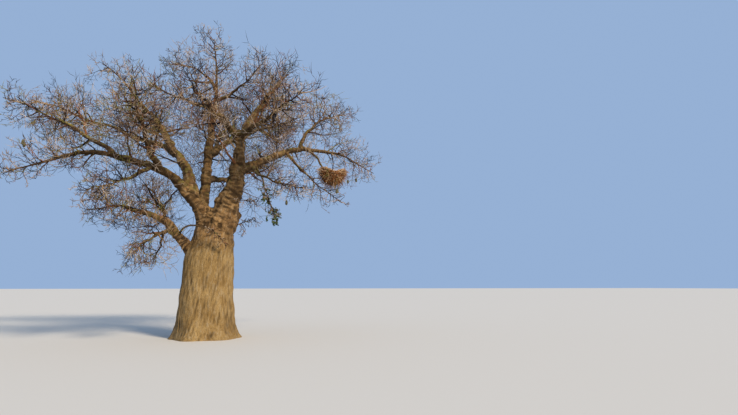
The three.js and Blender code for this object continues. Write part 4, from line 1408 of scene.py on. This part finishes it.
def leafTips():  # places along the leafy spray's finer twigs, and the ways that they point there
    tips, ways = [], []
    for order in ("second", "third", "fourth"):
        lines = crown["leafy_bough"][order]["line"]
        for part in leaf["along"]:
            parts = np.full(len(lines), part)
            tips.append(pointsOn(lines, parts))
            ways.append(waysOn(lines, parts))
    tips, ways = np.concatenate(tips), np.concatenate(ways)
    chosen = rankInRooms(tips, chance(0.31 * np.arange(len(tips))), leaf["room"]) < leaf["inRoom"]
    return tips[chosen], ways[chosen]


def leafMesh(name, tips, ways, seeds):
    jitter = scattered(seeds, 0, 0.2, 0.4)
    ahead = unit(ways + jitter + np.array([0, 0, -leaf["droop"]]))
    aside = unit(np.cross(ahead, unit(jitter + np.array([0, 0, 1.5]))))
    skyward = np.cross(aside, ahead)
    length = between(*leaf["length"], chance(seeds + 0.6))
    widest, half = leaf["widest"], leaf["width"] / 2
    blade = np.array([
        (0, 0, 0), (1, 0, 0), (widest, half, 0), (widest, -half, 0),
        (0.5, 0, leaf["thick"]), (0.5, 0, -leaf["thick"])])
    faces = np.array([
        (0, 3, 4), (3, 1, 4), (1, 2, 4), (2, 0, 4), (3, 0, 5), (1, 3, 5), (2, 1, 5), (0, 2, 5)])
    parts = []
    for turn in leaf["fan"]:
        angle = math.radians(turn)
        out = ahead * math.cos(angle) + aside * math.sin(angle)
        across = np.cross(skyward, out)
        size = length * between(1, leaf["sideShare"], abs(turn) / max(leaf["fan"]))
        frame = np.stack([out, across, skyward], axis=1)
        places = tips[:, None] + np.einsum("pk,nkc->npc", blade, frame) * size[:, None, None]
        corners = np.arange(len(tips))[:, None] * len(blade) + faces.ravel()[None]
        parts.append((places.reshape(-1, 3), corners.ravel(), np.full(len(tips) * len(faces), 3)))
    return joinedMesh(name, parts)


def makeLeaves():
    tips, ways = leafTips()
    seeds = 0.83 * np.arange(len(tips))
    deeper = chance(seeds + 0.9) < leaf["deeperShare"]
    for name, chosen in zip(leaf["tones"], (deeper, ~deeper)):
        mesh = leafMesh(name, tips[chosen], ways[chosen], seeds[chosen])
        finish = Finish(name, 0.6)
        place = finish.place()
        patches = finish.ranged(finish.noise(place, 14.0), 0.38, 0.62)
        finish.colour(finish.mixed(patches, *leaf["tones"][name]))
        finish.bump(finish.noise(place, 120.0), 0.4, 0.002)
        addPiece(name, mesh, finish.material, ["leafy_twigs"])


makeLeaves()
print("leaves out")


# The camera, the light and the floor

view = {
    "eye": (0.0, -21.516, 1.94), "right": 16.709, "up": 8.378, "lens": 26, "sensor": 36, "farthest": 2000,
    "sunHeading": -62, "sunClimb": 32, "sunStrength": 4.6, "sunSoftness": 11, "sunTone": (1.0, 0.88, 0.7),
    "sky": 0.95, "skyTone": (0.32, 0.46, 0.70, 1), "floorTone": (0.6, 0.56, 0.5, 1), "floorSize": 400,
}


def makeView():
    scene = bpy.context.scene
    camera = bpy.data.objects.new("camera", bpy.data.cameras.new("camera"))
    camera.data.lens, camera.data.sensor_width = view["lens"], view["sensor"]
    camera.data.clip_end = view["farthest"]
    camera.location = view["eye"]
    camera.rotation_euler = (math.radians(90 + view["up"]), 0, math.radians(-view["right"]))
    scene.collection.objects.link(camera)
    scene.camera = camera
    sun = bpy.data.objects.new("sun", bpy.data.lights.new("sun", "SUN"))
    sun.data.energy, sun.data.color = view["sunStrength"], view["sunTone"]
    sun.data.angle = math.radians(view["sunSoftness"])
    towards = Vector(direction(view["sunHeading"], view["sunClimb"]))
    sun.rotation_euler = towards.to_track_quat("Z", "Y").to_euler()
    scene.collection.objects.link(sun)
    world = bpy.data.worlds.new("soft light")
    world.use_nodes = True
    background = world.node_tree.nodes["Background"]
    background.inputs["Color"].default_value = view["skyTone"]
    background.inputs["Strength"].default_value = view["sky"]
    scene.world = world
    scene.view_settings.view_transform = "Standard"


def makeFloor():
    shape = bmesh.new()
    bmesh.ops.create_grid(shape, x_segments=1, y_segments=1, size=view["floorSize"])
    floor = bpy.data.objects.new("floor", meshOf(shape, "floor"))
    bpy.context.scene.collection.objects.link(floor)
    finish = Finish("pale floor", 0.9)
    finish.colour(view["floorTone"])
    floor.data.materials.append(finish.material)


makeView()
makeFloor()
